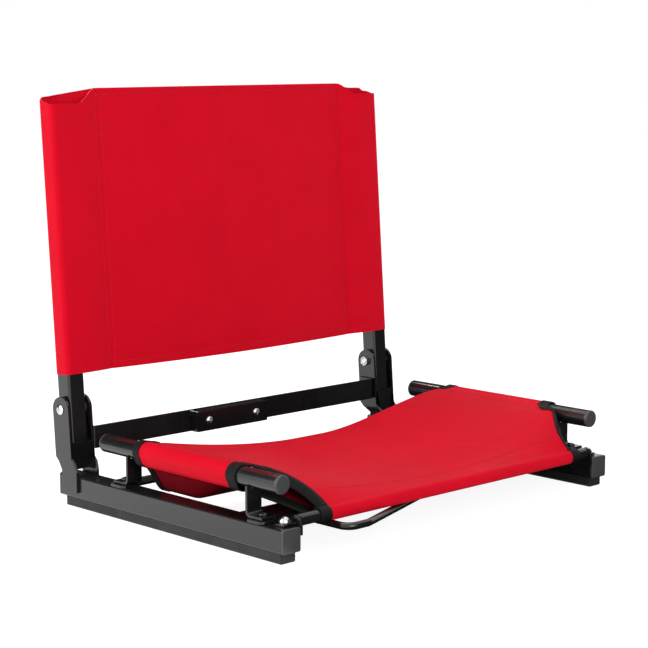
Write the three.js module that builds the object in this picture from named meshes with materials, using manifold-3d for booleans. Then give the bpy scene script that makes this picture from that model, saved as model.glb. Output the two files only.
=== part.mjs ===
// Folding stadium seat: two square rails on rubber strips, two round seat tubes on
// plate straps, a cloth sling, a back panel on two folding uprights, and a wire hook
// that swings down over the edge of a bench.
// Millimetres. X runs across, Y backwards, Z up, and left and right are as seen from the
// front. The part stands on Z = 0, with X = 0 and Y = 0 in the middle of its width and depth.

import * as THREE from 'three';
import { mergeVertices } from 'three/addons/utils/BufferGeometryUtils.js';
import Module from 'manifold-3d';

const wasm = await Module();
wasm.setup();

// Driving dimensions

// Fits
const FIT = 0.3;
const OVERRUN = 2;

// Side rails: square tube, measured over the end plugs
const RAIL_SIZE = 25;
const RAIL_WALL = 1.5;
const RAIL_CORNER = 2;
const RAIL_LENGTH = 370;
const RAIL_CENTRES = 492;

// Plugs in the ends of the square tubes
const PLUG_FACE = 2.5;
const PLUG_DEPTH = 8;
const PLUG_EDGE = 0.8;

// Rubber strips under the rails
const STRIP_WIDTH = 21;
const STRIP_HEIGHT = 10.9;
const STRIP_FRONT_SETBACK = 6;
const STRIP_REAR_SETBACK = 10;
const STRIP_EDGE = 1.5;
const STRIP_GROOVE = 1.2;

// Seat tubes, measured over their end caps; their rear end is placed from the pivot
const SEAT_TUBE = 20;
const SEAT_TUBE_WALL = 1.5;
const SEAT_TUBE_HEIGHT = 78.8;
const SEAT_TUBE_FRONT = 12.7;
const SEAT_TUBE_TO_PIVOT = 64.6;
const CAP_FACE = 3;
const CAP_DEPTH = 12;
const CAP_EDGE = 1.5;

// Uprights of the back
const UPRIGHT_SIZE = 22;
const UPRIGHT_WALL = 1.5;
const UPRIGHT_CORNER = 2.5;
const UPRIGHT_CENTRES = 485.4;
const UPRIGHT_TOP_SETBACK = 16;
const UPRIGHT_BELOW = 41;
const RECLINE = THREE.MathUtils.degToRad(4.14);

// Pivot of the back, from the rear end of the rails and from their top
const PIVOT_FROM_REAR = 5.4;
const PIVOT_RISE = 72.3;
const PIVOT_BOLT = 8;
const PIVOT_HEAD = 11.5;
const PIVOT_HEAD_RISE = 2.4;
const PIVOT_NUT = 12;
const PIVOT_NUT_RISE = 4;
const WASHER_SIZE = 16;

// Bracket: a folded plate with two cheeks and a stop web in front of the upright's tail
const PLATE = 3;
const CHEEK_GAP = 27.4;
const CHEEK_NECK = 28.6;
const CHEEK_TAB_WIDTH = 27;
const CHEEK_TAB_FORWARD = 12.5;
const CHEEK_TAB_BELOW = 18;
const CHEEK_LEAN = 8;
const CHEEK_WAIST_RISE = 18;
const CHEEK_JOG_LOW = 5;
const CHEEK_JOG_HIGH = 13;
const WEB_FOOT_RISE = 6;
const WEB_OVERLAP = 5;

// Rear cross bar: two flat bars screwed to a splice channel
const CROSS_BAR_HEIGHT = 25.5;
const CROSS_BAR_RISE = 25.3;
const CROSS_BAR_SETBACK = 20.5;
const CROSS_BAR_FLANGE = 24;
const CROSS_BAR_BEND = 5;
const SPLICE_LENGTH = 111;
const SPLICE_OFFSET = -28.5;
const SPLICE_DEPTH = 13.5;
const SPLICE_HEIGHT = 24.5;
const SPLICE_WALL = 1.5;
const SPLICE_SCREW_INSET = 18.5;
const SCREW_SIZE = 5;
const SCREW_HEAD = 9.5;
const SCREW_HEAD_RISE = 2.6;

// Straps that carry the seat tubes, placed from the tubes' ends, and the flat bars
// that their feet are bolted on
const STRAP_WIDTH = 20;
const STRAP_FRONT_SETBACK = 44.3;
const STRAP_REAR_SETBACK = 49;
const STRAP_FOOT = 22;
const STRAP_BEND = 4;
const STRAP_COPE = 3;
const FLAT_BAR_WIDTH = 25;
const FLAT_BAR_OVERHANG = 1.5;
const FLAT_BAR_CORNER = 6;
const FOOT_BOLT = 6;
const FOOT_BOLT_HEAD = 10;
const FOOT_BOLT_RISE = 3;
const FOOT_BOLT_TAIL = 6;

// Front cross tube, its corner plates and their dome bolts
const FRONT_TUBE = 12.7;
const FRONT_TUBE_WALL = 1.2;
const FRONT_TUBE_SETBACK = 10;
const CORNER_PLATE = 2.5;
const CORNER_PLATE_DEPTH = 21;
const CORNER_PLATE_DROP = 9;
const CORNER_PLATE_REACH = 19;
const DOME_BOLT = 6;
const DOME_HEAD = 11.5;
const DOME_HEAD_RISE = 6.5;
const DOME_INSET = 8.5;
const DOME_SETBACK = 15;

// Bar under the seat that holds the bench hook, and the hook, whose wire lies below
// the top of the rails and passes under the front cross tube
const HOOK_BAR_WIDTH = 30;
const HOOK_BAR_FLANGE = 16;
const HOOK_WIRE = 8;
const HOOK_BELOW_RAILS = 7.95;
const HOOK_PIVOT = 78;
const HOOK_FRONT = -12;
const HOOK_LEG = 179;
const HOOK_NOSE = 150;
const HOOK_FAR = 97;
const HOOK_BEND = 12;
const HOOK_END = 30;
const CLIP_WIDTH = 14;
const CLIP_PLATE = 1.5;
const CLIP_FOOT = 8;

// Cloth
const CLOTH = 1.3;
const SLEEVE_FRONT_GAP = 16.6;
const SLEEVE_REAR_GAP = 13.8;
const SLEEVE_SEAM = 19;
const SLEEVE_SLACK = 4.8;
const SLEEVE_SLACK_IN = 2.5;
const SLING_SAG = 30.5;
const FRONT_SLEEVE = 404;
const PANEL_FOOT = 39;
const PANEL_HEIGHT = 316;
const PANEL_CORNER_FALL = 9;
const PANEL_SEAMS = 380;
const PANEL_BOW = 4;

// How the sling's half section climbs to its tube, as a power of the way out
const SLING_CURVE_SHARE = 1.55;

// The cut front corner of the sling, from the front tube back to the sleeve: the way
// back, the way out and the way up
const CORNER_SHARES = [
  [0, 0, 0.02],
  [0.13, 0.03, 0.16],
  [0.31, 0.12, 0.38],
  [0.5, 0.3, 0.6],
  [0.69, 0.56, 0.8],
  [0.88, 0.8, 0.94],
  [0.99, 0.9, 0.98],
  [1, 1, 1],
];

// Numbers of facets
const ROUND_SIDES = 20;
const BOLT_SIDES = 12;
const NUT_SIDES = 6;
const CORNER_STEPS = 2;
const BEND_STEPS = 3;
const DOME_STEPS = 3;
const SLING_COLUMNS = 24;
const SLING_ROWS = 6;
const PANEL_STEPS = 8;

// Sizes and places that follow from them

const railBase = STRIP_HEIGHT + FIT;
const railTop = railBase + RAIL_SIZE;
const railAxis = RAIL_CENTRES / 2;
const railOuter = railAxis + RAIL_SIZE / 2;
const railInner = railAxis - RAIL_SIZE / 2;
const pivotY = RAIL_LENGTH - PIVOT_FROM_REAR;
const pivotZ = railTop + PIVOT_RISE;
const seatTubeRear = pivotY - SEAT_TUBE_TO_PIVOT;
const strapFront = SEAT_TUBE_FRONT + STRAP_FRONT_SETBACK;
const strapRear = seatTubeRear - STRAP_REAR_SETBACK;
const slingFront = strapFront + SLEEVE_FRONT_GAP;
const slingRear = strapRear - SLEEVE_REAR_GAP;
const uprightAxis = UPRIGHT_CENTRES / 2;
const panelSideHeight = PANEL_HEIGHT - PANEL_CORNER_FALL;
const uprightAbove = PANEL_FOOT + panelSideHeight - UPRIGHT_TOP_SETBACK;
const cheekOuterFace = uprightAxis + CHEEK_GAP / 2;
const cheekInnerFace = uprightAxis - CHEEK_GAP / 2;
const barLow = railTop + CROSS_BAR_RISE;
const barFront = RAIL_LENGTH - CROSS_BAR_SETBACK;
const flatBarLow = railTop + FIT;
const footLow = flatBarLow + PLATE + FIT;
const seatTubeRadius = SEAT_TUBE / 2;
const frontTubeRadius = FRONT_TUBE / 2;
const hookZ = railTop - HOOK_BELOW_RAILS;
const hookBarLow = hookZ + HOOK_WIRE / 2 + FIT;
const frontTubeHeight = hookBarLow + CLOTH + FIT + frontTubeRadius;

// Materials

function material(color, roughness, metalness) {
  return new THREE.MeshStandardMaterial({ color, roughness, metalness });
}

const blackPaint = material('#131314', 0.28, 0.2);
const blackPlastic = material('#1d1d1f', 0.5, 0);
const rubber = material('#242425', 0.8, 0);
const steel = material('#c9cbce', 0.3, 1);
const redCloth = material('#cc1126', 0.85, 0);

// Solids: closed bodies that can be joined and cut

function solid(geometry) {
  const bare = geometry.clone();
  bare.deleteAttribute('normal');
  bare.deleteAttribute('uv');
  const merged = mergeVertices(bare);
  const mesh = new wasm.Mesh({
    numProp: 3,
    vertProperties: new Float32Array(merged.attributes.position.array),
    triVerts: new Uint32Array(merged.index.array),
  });
  return new wasm.Manifold(mesh);
}

function geometryOf(body) {
  const mesh = body.getMesh();
  const geometry = new THREE.BufferGeometry();
  geometry.setAttribute('position', new THREE.BufferAttribute(mesh.vertProperties, 3));
  geometry.setIndex(new THREE.BufferAttribute(mesh.triVerts, 1));
  return geometry;
}

function join(...bodies) {
  return bodies.reduce((sum, body) => sum.add(body));
}

function cut(body, ...tools) {
  return tools.reduce((rest, tool) => rest.subtract(tool), body);
}

// Sections are drawn flat and pushed along one axis of the frame

const alongX = new THREE.Matrix4().makeBasis(
  new THREE.Vector3(0, 1, 0),
  new THREE.Vector3(0, 0, 1),
  new THREE.Vector3(1, 0, 0),
);
const alongY = new THREE.Matrix4().makeBasis(
  new THREE.Vector3(0, 0, 1),
  new THREE.Vector3(1, 0, 0),
  new THREE.Vector3(0, 1, 0),
);

function extrude(shape, length, curveSegments) {
  return new THREE.ExtrudeGeometry(shape, { depth: length, bevelEnabled: false, curveSegments });
}

// A (Y, Z) section from one X to another
function extrudeX(shape, from, to, steps = CORNER_STEPS) {
  return solid(extrude(shape, to - from, steps).applyMatrix4(alongX).translate(from, 0, 0));
}

// A (Z, X) section from one Y to another
function extrudeY(shape, from, to, steps = CORNER_STEPS) {
  return solid(extrude(shape, to - from, steps).applyMatrix4(alongY).translate(0, from, 0));
}

// An (X, Y) section from one Z to another
function extrudeZ(shape, from, to, steps = CORNER_STEPS) {
  return solid(extrude(shape, to - from, steps).translate(0, 0, from));
}

function polygon(points) {
  return new THREE.Shape(points.map(([a, b]) => new THREE.Vector2(a, b)));
}

function roundedRectangle(a, b, width, height, radius, Type = THREE.Shape) {
  const right = a + width;
  const top = b + height;
  const outline = new Type();
  outline.moveTo(a + radius, b);
  outline.lineTo(right - radius, b);
  outline.absarc(right - radius, b + radius, radius, -Math.PI / 2, 0, false);
  outline.lineTo(right, top - radius);
  outline.absarc(right - radius, top - radius, radius, 0, Math.PI / 2, false);
  outline.lineTo(a + radius, top);
  outline.absarc(a + radius, top - radius, radius, Math.PI / 2, Math.PI, false);
  outline.lineTo(a, b + radius);
  outline.absarc(a + radius, b + radius, radius, Math.PI, Math.PI * 1.5, false);
  return outline;
}

function squareTubeSection(size, wall, corner) {
  const inner = size - 2 * wall;
  const shape = roundedRectangle(-size / 2, -size / 2, size, size, corner);
  const innerCorner = Math.max(corner - wall, wall / 3);
  const bore = roundedRectangle(-inner / 2, -inner / 2, inner, inner, innerCorner, THREE.Path);
  shape.holes.push(bore);
  return shape;
}

// Round bodies about one axis of the frame

function cylinderX(radius, from, to, y, z, sides = BOLT_SIDES) {
  const geometry = new THREE.CylinderGeometry(radius, radius, to - from, sides);
  return solid(geometry.rotateZ(-Math.PI / 2).translate((from + to) / 2, y, z));
}

function cylinderY(radius, from, to, x, z, sides = ROUND_SIDES) {
  const geometry = new THREE.CylinderGeometry(radius, radius, to - from, sides);
  return solid(geometry.translate(x, (from + to) / 2, z));
}

function cylinderZ(radius, from, to, x, y, sides = BOLT_SIDES) {
  const geometry = new THREE.CylinderGeometry(radius, radius, to - from, sides);
  return solid(geometry.rotateX(Math.PI / 2).translate(x, y, (from + to) / 2));
}

// A bolt along its own +Y: the head above 0, the shank below it
function boltGeometry(shank, length, head, rise, sides = BOLT_SIDES) {
  const profile = [new THREE.Vector2(0, -length), new THREE.Vector2(shank / 2, -length)];
  profile.push(new THREE.Vector2(shank / 2, 0));
  profile.push(new THREE.Vector2(head / 2, 0));
  for (let step = 1; step < DOME_STEPS; step += 1) {
    const turn = (Math.PI / 2) * (step / DOME_STEPS);
    profile.push(new THREE.Vector2((head / 2) * Math.cos(turn), rise * Math.sin(turn)));
  }
  profile.push(new THREE.Vector2(0, rise));
  return new THREE.LatheGeometry(profile, sides);
}

// Pieces: each becomes one named mesh

const seat = new THREE.Group();
const frame = new THREE.Group();
const back = new THREE.Group();
seat.add(frame, back);

function addPiece(group, name, body, finish) {
  const mesh = new THREE.Mesh(geometryOf(body), finish);
  mesh.name = name;
  group.add(mesh);
  return mesh;
}

// The right-hand piece is modelled; the left-hand one is its mirror image
function addPair(group, name, body, finish) {
  addPiece(group, `right_${name}`, body, finish);
  addPiece(group, `left_${name}`, body.mirror([1, 0, 0]), finish);
}

// Side rails

function railBoltHoles() {
  const low = railTop - RAIL_WALL - OVERRUN;
  const high = railTop + OVERRUN;
  const holes = [strapFront, strapRear].map((strapY) => {
    return cylinderZ(FOOT_BOLT / 2 + FIT, low, high, railAxis, footBoltY(strapY));
  });
  holes.push(cylinderZ(DOME_BOLT / 2 + FIT, low, high, railInner + DOME_INSET, DOME_SETBACK));
  return holes;
}

function rail() {
  const section = squareTubeSection(RAIL_SIZE, RAIL_WALL, RAIL_CORNER);
  const end = PLUG_FACE + FIT;
  const tube = extrudeY(section, end, RAIL_LENGTH - end).translate([railAxis, 0, railBase + RAIL_SIZE / 2]);
  return cut(tube, ...railBoltHoles());
}

// A plug for a square tube, its face at 0 and its stem along +Y
function squarePlug(size, wall, corner) {
  const face = roundedRectangle(-size / 2, -size / 2, size, size, corner);
  const shoulder = size - 2 * PLUG_EDGE;
  const front = roundedRectangle(-shoulder / 2, -shoulder / 2, shoulder, shoulder, corner);
  const stemSize = size - 2 * wall - 2 * FIT;
  const stem = roundedRectangle(-stemSize / 2, -stemSize / 2, stemSize, stemSize, PLUG_EDGE);
  return join(
    extrudeY(front, 0, PLUG_EDGE),
    extrudeY(face, PLUG_EDGE, PLUG_FACE),
    extrudeY(stem, PLUG_FACE, PLUG_FACE + PLUG_DEPTH),
  );
}

function addRails() {
  addPair(frame, 'rail', rail(), blackPaint);
  const plug = squarePlug(RAIL_SIZE, RAIL_WALL, RAIL_CORNER);
  const height = railBase + RAIL_SIZE / 2;
  const rearPlug = plug.mirror([0, 1, 0]);
  addPair(frame, 'rail_front_plug', plug.translate([railAxis, 0, height]), blackPlastic);
  addPair(frame, 'rail_rear_plug', rearPlug.translate([railAxis, RAIL_LENGTH, height]), blackPlastic);
}

// Rubber strips, with two shallow grooves along each side

function stripSection() {
  const half = STRIP_WIDTH / 2;
  const groove = STRIP_GROOVE;
  const right = [
    [0, half - STRIP_EDGE],
    [STRIP_EDGE, half],
    [STRIP_HEIGHT / 3 - groove, half],
    [STRIP_HEIGHT / 3, half - groove / 2],
    [STRIP_HEIGHT / 3 + groove, half],
    [(STRIP_HEIGHT * 2) / 3 - groove, half],
    [(STRIP_HEIGHT * 2) / 3, half - groove / 2],
    [(STRIP_HEIGHT * 2) / 3 + groove, half],
    [STRIP_HEIGHT, half],
  ];
  const left = right.map(([z, x]) => [z, -x]).reverse();
  return polygon([...right, ...left]);
}

function addFootStrips() {
  const strip = extrudeY(stripSection(), STRIP_FRONT_SETBACK, RAIL_LENGTH - STRIP_REAR_SETBACK);
  addPair(frame, 'foot_strip', strip.translate([railAxis, 0, 0]), rubber);
}

// Seat tubes and their caps

function seatTube() {
  const from = SEAT_TUBE_FRONT + CAP_FACE + FIT;
  const to = seatTubeRear - CAP_FACE - FIT;
  const boreRadius = seatTubeRadius - SEAT_TUBE_WALL;
  const outside = cylinderY(seatTubeRadius, from, to, railAxis, SEAT_TUBE_HEIGHT);
  const bore = cylinderY(boreRadius, from - OVERRUN, to + OVERRUN, railAxis, SEAT_TUBE_HEIGHT);
  return cut(outside, bore);
}

// A cap turned about +Y, its face at 0 and its stem along +Y
function tubeCap() {
  const stem = seatTubeRadius - SEAT_TUBE_WALL - FIT;
  const profile = [new THREE.Vector2(0, 0), new THREE.Vector2(seatTubeRadius - CAP_EDGE, 0)];
  for (let step = 1; step <= CORNER_STEPS; step += 1) {
    const turn = (Math.PI / 2) * (step / CORNER_STEPS);
    const out = CAP_EDGE * Math.sin(turn);
    const back = CAP_EDGE * (1 - Math.cos(turn));
    profile.push(new THREE.Vector2(seatTubeRadius - CAP_EDGE + out, back));
  }
  profile.push(new THREE.Vector2(seatTubeRadius, CAP_FACE));
  profile.push(new THREE.Vector2(stem, CAP_FACE));
  profile.push(new THREE.Vector2(stem, CAP_FACE + CAP_DEPTH));
  profile.push(new THREE.Vector2(0, CAP_FACE + CAP_DEPTH));
  return solid(new THREE.LatheGeometry(profile, ROUND_SIDES));
}

function addSeatTubes() {
  addPair(frame, 'seat_tube', seatTube(), blackPaint);
  const cap = tubeCap();
  const rearCap = cap.mirror([0, 1, 0]);
  const height = SEAT_TUBE_HEIGHT;
  addPair(frame, 'tube_front_cap', cap.translate([railAxis, SEAT_TUBE_FRONT, height]), blackPlastic);
  addPair(frame, 'tube_rear_cap', rearCap.translate([railAxis, seatTubeRear, height]), blackPlastic);
}

// Straps: a plate that faces forward under the tube, and a foot on the rail.
// The front foot points forward and the rear foot backward

function footBoltY(strapY) {
  const way = strapY === strapFront ? -1 : 1;
  return strapY + way * (PLATE / 2 + (STRAP_FOOT + STRAP_BEND) / 2);
}

function strapOutline() {
  const outer = STRAP_BEND + PLATE;
  const foot = PLATE / 2 + STRAP_FOOT;
  const top = SEAT_TUBE_HEIGHT - seatTubeRadius + STRAP_COPE;
  const outline = new THREE.Shape();
  outline.moveTo(-PLATE / 2, top);
  outline.lineTo(-PLATE / 2, footLow + outer);
  outline.absarc(-PLATE / 2 + outer, footLow + outer, outer, Math.PI, Math.PI * 1.5, false);
  outline.lineTo(foot, footLow);
  outline.lineTo(foot, footLow + PLATE);
  outline.lineTo(PLATE / 2 + STRAP_BEND, footLow + PLATE);
  outline.absarc(PLATE / 2 + STRAP_BEND, footLow + outer, STRAP_BEND, Math.PI * 1.5, Math.PI, true);
  outline.lineTo(PLATE / 2, top);
  return outline;
}

function rearwardStrap() {
  const from = railAxis - STRAP_WIDTH / 2;
  const plate = extrudeX(strapOutline(), from, from + STRAP_WIDTH, BEND_STEPS);
  const reach = STRAP_FOOT + PLATE;
  const tube = cylinderY(seatTubeRadius + FIT, -reach, reach, railAxis, SEAT_TUBE_HEIGHT);
  const boltY = footBoltY(strapRear) - strapRear;
  const high = footLow + PLATE + OVERRUN;
  const hole = cylinderZ(FOOT_BOLT / 2 + FIT, footLow - OVERRUN, high, railAxis, boltY);
  return cut(plate, tube, hole);
}

function footBolt(strapY) {
  const length = footLow + PLATE + FIT - (railTop - RAIL_WALL) + FOOT_BOLT_TAIL;
  const bolt = solid(boltGeometry(FOOT_BOLT, length, FOOT_BOLT_HEAD, FOOT_BOLT_RISE).rotateX(Math.PI / 2));
  return bolt.translate([railAxis, footBoltY(strapY), footLow + PLATE + FIT]);
}

function addStraps() {
  const strap = rearwardStrap();
  addPair(frame, 'rear_strap', strap.translate([0, strapRear, 0]), blackPaint);
  addPair(frame, 'front_strap', strap.mirror([0, 1, 0]).translate([0, strapFront, 0]), blackPaint);
  addPair(frame, 'front_strap_bolt', footBolt(strapFront), blackPaint);
  addPair(frame, 'rear_strap_bolt', footBolt(strapRear), blackPaint);
}

// Flat bars across both rails, under the feet of the straps

function flatBar(strapY) {
  const y = footBoltY(strapY);
  const half = railOuter + FLAT_BAR_OVERHANG;
  const outline = roundedRectangle(
    -half,
    y - FLAT_BAR_WIDTH / 2,
    2 * half,
    FLAT_BAR_WIDTH,
    FLAT_BAR_CORNER,
  );
  const bar = extrudeZ(outline, flatBarLow, flatBarLow + PLATE, BEND_STEPS);
  const low = flatBarLow - OVERRUN;
  const high = flatBarLow + PLATE + OVERRUN;
  const holes = [-railAxis, railAxis].map((x) => cylinderZ(FOOT_BOLT / 2 + FIT, low, high, x, y));
  return cut(bar, ...holes);
}

function addFlatBars() {
  addPiece(frame, 'front_flat_bar', flatBar(strapFront), blackPaint);
  addPiece(frame, 'rear_flat_bar', flatBar(strapRear), blackPaint);
}

// Front cross tube, the corner plates at its ends and their dome bolts

function frontTube() {
  const end = railInner - FIT - CORNER_PLATE - FIT;
  const tube = cylinderX(frontTubeRadius, -end, end, FRONT_TUBE_SETBACK, frontTubeHeight, ROUND_SIDES);
  const bore = cylinderX(
    frontTubeRadius - FRONT_TUBE_WALL,
    -end - OVERRUN,
    end + OVERRUN,
    FRONT_TUBE_SETBACK,
    frontTubeHeight,
    ROUND_SIDES,
  );
  return cut(tube, bore);
}

// An ear on the inner face of the rail, round over the tube's end, and a flange on top
function cornerPlate() {
  const face = railInner - FIT;
  const low = railTop - CORNER_PLATE_DROP;
  const flangeLow = railTop + FIT;
  const ear = new THREE.Shape();
  ear.moveTo(0, low);
  ear.lineTo(CORNER_PLATE_DEPTH, low);
  ear.lineTo(CORNER_PLATE_DEPTH, flangeLow + CORNER_PLATE);
  ear.lineTo(FRONT_TUBE_SETBACK, frontTubeHeight + frontTubeRadius);
  ear.lineTo(FRONT_TUBE_SETBACK - frontTubeRadius, frontTubeHeight + frontTubeRadius);
  ear.lineTo(0, flangeLow + CORNER_PLATE);
  const from = DOME_SETBACK - (CORNER_PLATE_DEPTH - DOME_SETBACK);
  const flange = roundedRectangle(
    face - CORNER_PLATE,
    from,
    CORNER_PLATE_REACH,
    CORNER_PLATE_DEPTH - from,
    CORNER_PLATE / 2,
  );
  const flangeTop = flangeLow + CORNER_PLATE;
  const domeX = railInner + DOME_INSET;
  const boltRadius = DOME_BOLT / 2 + FIT;
  const hole = cylinderZ(boltRadius, flangeLow - OVERRUN, flangeTop + OVERRUN, domeX, DOME_SETBACK);
  const plate = join(
    extrudeX(ear, face - CORNER_PLATE, face),
    extrudeZ(flange, flangeLow, flangeTop),
  );
  return cut(plate, hole);
}

function domeBolt() {
  const seatZ = railTop + FIT + CORNER_PLATE + FIT;
  const length = seatZ - railTop + RAIL_WALL + FOOT_BOLT_TAIL;
  const bolt = solid(boltGeometry(DOME_BOLT, length, DOME_HEAD, DOME_HEAD_RISE).rotateX(Math.PI / 2));
  return bolt.translate([railInner + DOME_INSET, DOME_SETBACK, seatZ]);
}

function addFrontTube() {
  addPiece(frame, 'front_cross_tube', frontTube(), blackPaint);
  addPair(frame, 'corner_plate', cornerPlate(), blackPaint);
  addPair(frame, 'dome_bolt', domeBolt(), steel);
}

// Brackets: the outline of a cheek, seen from the side, cuts a plate that is bent
// outwards to the rail at its foot

function cheekOutline(tabForward) {
  const waist = railTop + CHEEK_WAIST_RISE;
  const neck = CHEEK_NECK / 2;
  const tabLow = railTop - CHEEK_TAB_BELOW;
  const tabTop = railTop + CHEEK_JOG_LOW;
  const shift = CHEEK_LEAN * ((pivotZ - waist) / pivotZ);
  const tabFront = pivotY - neck - shift - tabForward;
  const outline = new THREE.Shape();
  outline.moveTo(tabFront, tabLow);
  outline.lineTo(tabFront + CHEEK_TAB_WIDTH, tabLow);
  outline.lineTo(tabFront + CHEEK_TAB_WIDTH, tabTop);
  outline.lineTo(pivotY + neck - shift, waist);
  outline.lineTo(pivotY + neck, pivotZ);
  outline.absarc(pivotY, pivotZ, neck, 0, Math.PI, false);
  outline.lineTo(pivotY - neck - shift, waist);
  outline.lineTo(tabFront, tabTop);
  return outline;
}

// The bent section of a cheek in (Z, X): along the rail below, inset above the jog
function cheekSection(tabInside, topInside) {
  const low = railTop - CHEEK_TAB_BELOW - OVERRUN;
  const jogLow = railTop + CHEEK_JOG_LOW;
  const jogHigh = railTop + CHEEK_JOG_HIGH;
  const high = pivotZ + CHEEK_NECK;
  return polygon([
    [low, tabInside],
    [jogLow, tabInside],
    [jogHigh, topInside],
    [high, topInside],
    [high, topInside + PLATE],
    [jogHigh, topInside + PLATE],
    [jogLow, tabInside + PLATE],
    [low, tabInside + PLATE],
  ]);
}

function cheek(tabInside, topInside, tabForward) {
  const near = pivotY - CHEEK_NECK * 2;
  const far = pivotY + CHEEK_NECK * 2;
  const sheet = extrudeY(cheekSection(tabInside, topInside), near, far);
  const inside = cheekInnerFace - RAIL_SIZE;
  const outside = railOuter + RAIL_SIZE;
  const blank = extrudeX(cheekOutline(tabForward), inside, outside, ROUND_SIDES / 2);
  return sheet.intersect(blank);
}

// The stop web stands just in front of the tail, parallel to it
function stopWeb() {
  const low = railTop + WEB_FOOT_RISE;
  const lead = (UPRIGHT_SIZE / 2 + FIT) / Math.cos(RECLINE);
  const rearAt = (z) => pivotY - lead + (z - pivotZ) * Math.tan(RECLINE);
  const high = pivotZ - UPRIGHT_BELOW * Math.cos(RECLINE) + WEB_OVERLAP;
  const outline = polygon([
    [rearAt(low) - PLATE, low],
    [rearAt(low), low],
    [rearAt(high), high],
    [rearAt(high) - PLATE, high],
  ]);
  return extrudeX(outline, cheekInnerFace - PLATE / 2, cheekOuterFace + PLATE / 2);
}

function bracket() {
  const outer = cheek(railOuter + FIT, cheekOuterFace, CHEEK_TAB_FORWARD);
  const inner = cheek(railInner - FIT - PLATE, cheekInnerFace - PLATE, CHEEK_TAB_FORWARD);
  const from = cheekInnerFace - PLATE - OVERRUN;
  const to = railOuter + PLATE + OVERRUN;
  const bore = cylinderX(PIVOT_BOLT / 2 + FIT, from, to, pivotY, pivotZ);
  return cut(join(outer, inner, stopWeb()), bore);
}

function addBrackets() {
  addPair(frame, 'bracket', bracket(), blackPaint);
}

// Pivot bolts, nuts and the washers that centre each upright between its cheeks

function pivotBolt() {
  const headAt = cheekOuterFace + PLATE + FIT;
  const length = headAt - (cheekInnerFace - PLATE - FIT) + PIVOT_NUT_RISE;
  const bolt = solid(boltGeometry(PIVOT_BOLT, length, PIVOT_HEAD, PIVOT_HEAD_RISE));
  return bolt.rotate([0, 0, -90]).translate([headAt, pivotY, pivotZ]);
}

function pivotNut() {
  const to = cheekInnerFace - PLATE - FIT;
  const nut = cylinderX(PIVOT_NUT / 2, to - PIVOT_NUT_RISE, to, pivotY, pivotZ, NUT_SIDES);
  const bore = cylinderX(PIVOT_BOLT / 2 + FIT, to - PIVOT_NUT_RISE - OVERRUN, to + OVERRUN, pivotY, pivotZ);
  return cut(nut, bore);
}

function pivotWasher(from, to) {
  const disc = cylinderX(WASHER_SIZE / 2, from, to, pivotY, pivotZ, ROUND_SIDES);
  const bore = cylinderX(PIVOT_BOLT / 2 + FIT, from - OVERRUN, to + OVERRUN, pivotY, pivotZ);
  return cut(disc, bore);
}

function addPivots() {
  addPair(frame, 'pivot_bolt', pivotBolt(), steel);
  addPair(frame, 'pivot_nut', pivotNut(), steel);
  const half = UPRIGHT_SIZE / 2;
  const outerWasher = pivotWasher(uprightAxis + half + FIT, cheekOuterFace - FIT);
  const innerWasher = pivotWasher(cheekInnerFace + FIT, uprightAxis - half - FIT);
  addPair(frame, 'outer_washer', outerWasher, blackPlastic);
  addPair(frame, 'inner_washer', innerWasher, blackPlastic);
}

// Rear cross bar: each half bends back into a flange on the bracket's inner cheek

function crossBarSection(innerEnd) {
  const outer = cheekInnerFace - PLATE - FIT;
  const rear = barFront + CROSS_BAR_FLANGE;
  const bend = CROSS_BAR_BEND;
  const section = new THREE.Shape();
  section.moveTo(innerEnd, barFront);
  section.lineTo(outer - bend, barFront);
  section.absarc(outer - bend, barFront + bend, bend, -Math.PI / 2, 0, false);
  section.lineTo(outer, rear);
  section.lineTo(outer - PLATE, rear);
  section.lineTo(outer - PLATE, barFront + bend);
  section.absarc(outer - bend, barFront + bend, bend - PLATE, 0, -Math.PI / 2, true);
  section.lineTo(innerEnd, barFront + PLATE);
  return section;
}

function crossBar(innerEnd, screwX) {
  const bar = extrudeZ(crossBarSection(innerEnd), barLow, barLow + CROSS_BAR_HEIGHT, BEND_STEPS);
  const z = barLow + CROSS_BAR_HEIGHT / 2;
  const rear = barFront + PLATE + OVERRUN;
  const hole = cylinderY(SCREW_SIZE / 2 + FIT, barFront - OVERRUN, rear, screwX, z, BOLT_SIDES);
  return cut(bar, hole);
}

function splice() {
  const z = barLow + (CROSS_BAR_HEIGHT - SPLICE_HEIGHT) / 2;
  const front = barFront - FIT - SPLICE_DEPTH;
  const from = SPLICE_OFFSET - SPLICE_LENGTH / 2;
  const outside = roundedRectangle(z, from, SPLICE_HEIGHT, SPLICE_LENGTH, SPLICE_WALL);
  const inside = roundedRectangle(
    z + SPLICE_WALL,
    from + SPLICE_WALL,
    SPLICE_HEIGHT - 2 * SPLICE_WALL,
    SPLICE_LENGTH - 2 * SPLICE_WALL,
    SPLICE_WALL / 2,
  );
  const shell = extrudeY(outside, front, barFront - FIT);
  const hollow = extrudeY(inside, front + SPLICE_WALL, barFront - FIT + OVERRUN);
  const back = front + SPLICE_WALL + OVERRUN;
  const holes = spliceScrewPlaces().map(([x, height]) => {
    return cylinderY(SCREW_SIZE / 2 + FIT, front - OVERRUN, back, x, height, BOLT_SIDES);
  });
  return cut(shell, hollow, ...holes);
}

function spliceScrewPlaces() {
  const height = barLow + CROSS_BAR_HEIGHT / 2;
  const out = SPLICE_LENGTH / 2 - SPLICE_SCREW_INSET;
  return [-1, 1].map((side) => [SPLICE_OFFSET + side * out, height]);
}

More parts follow.
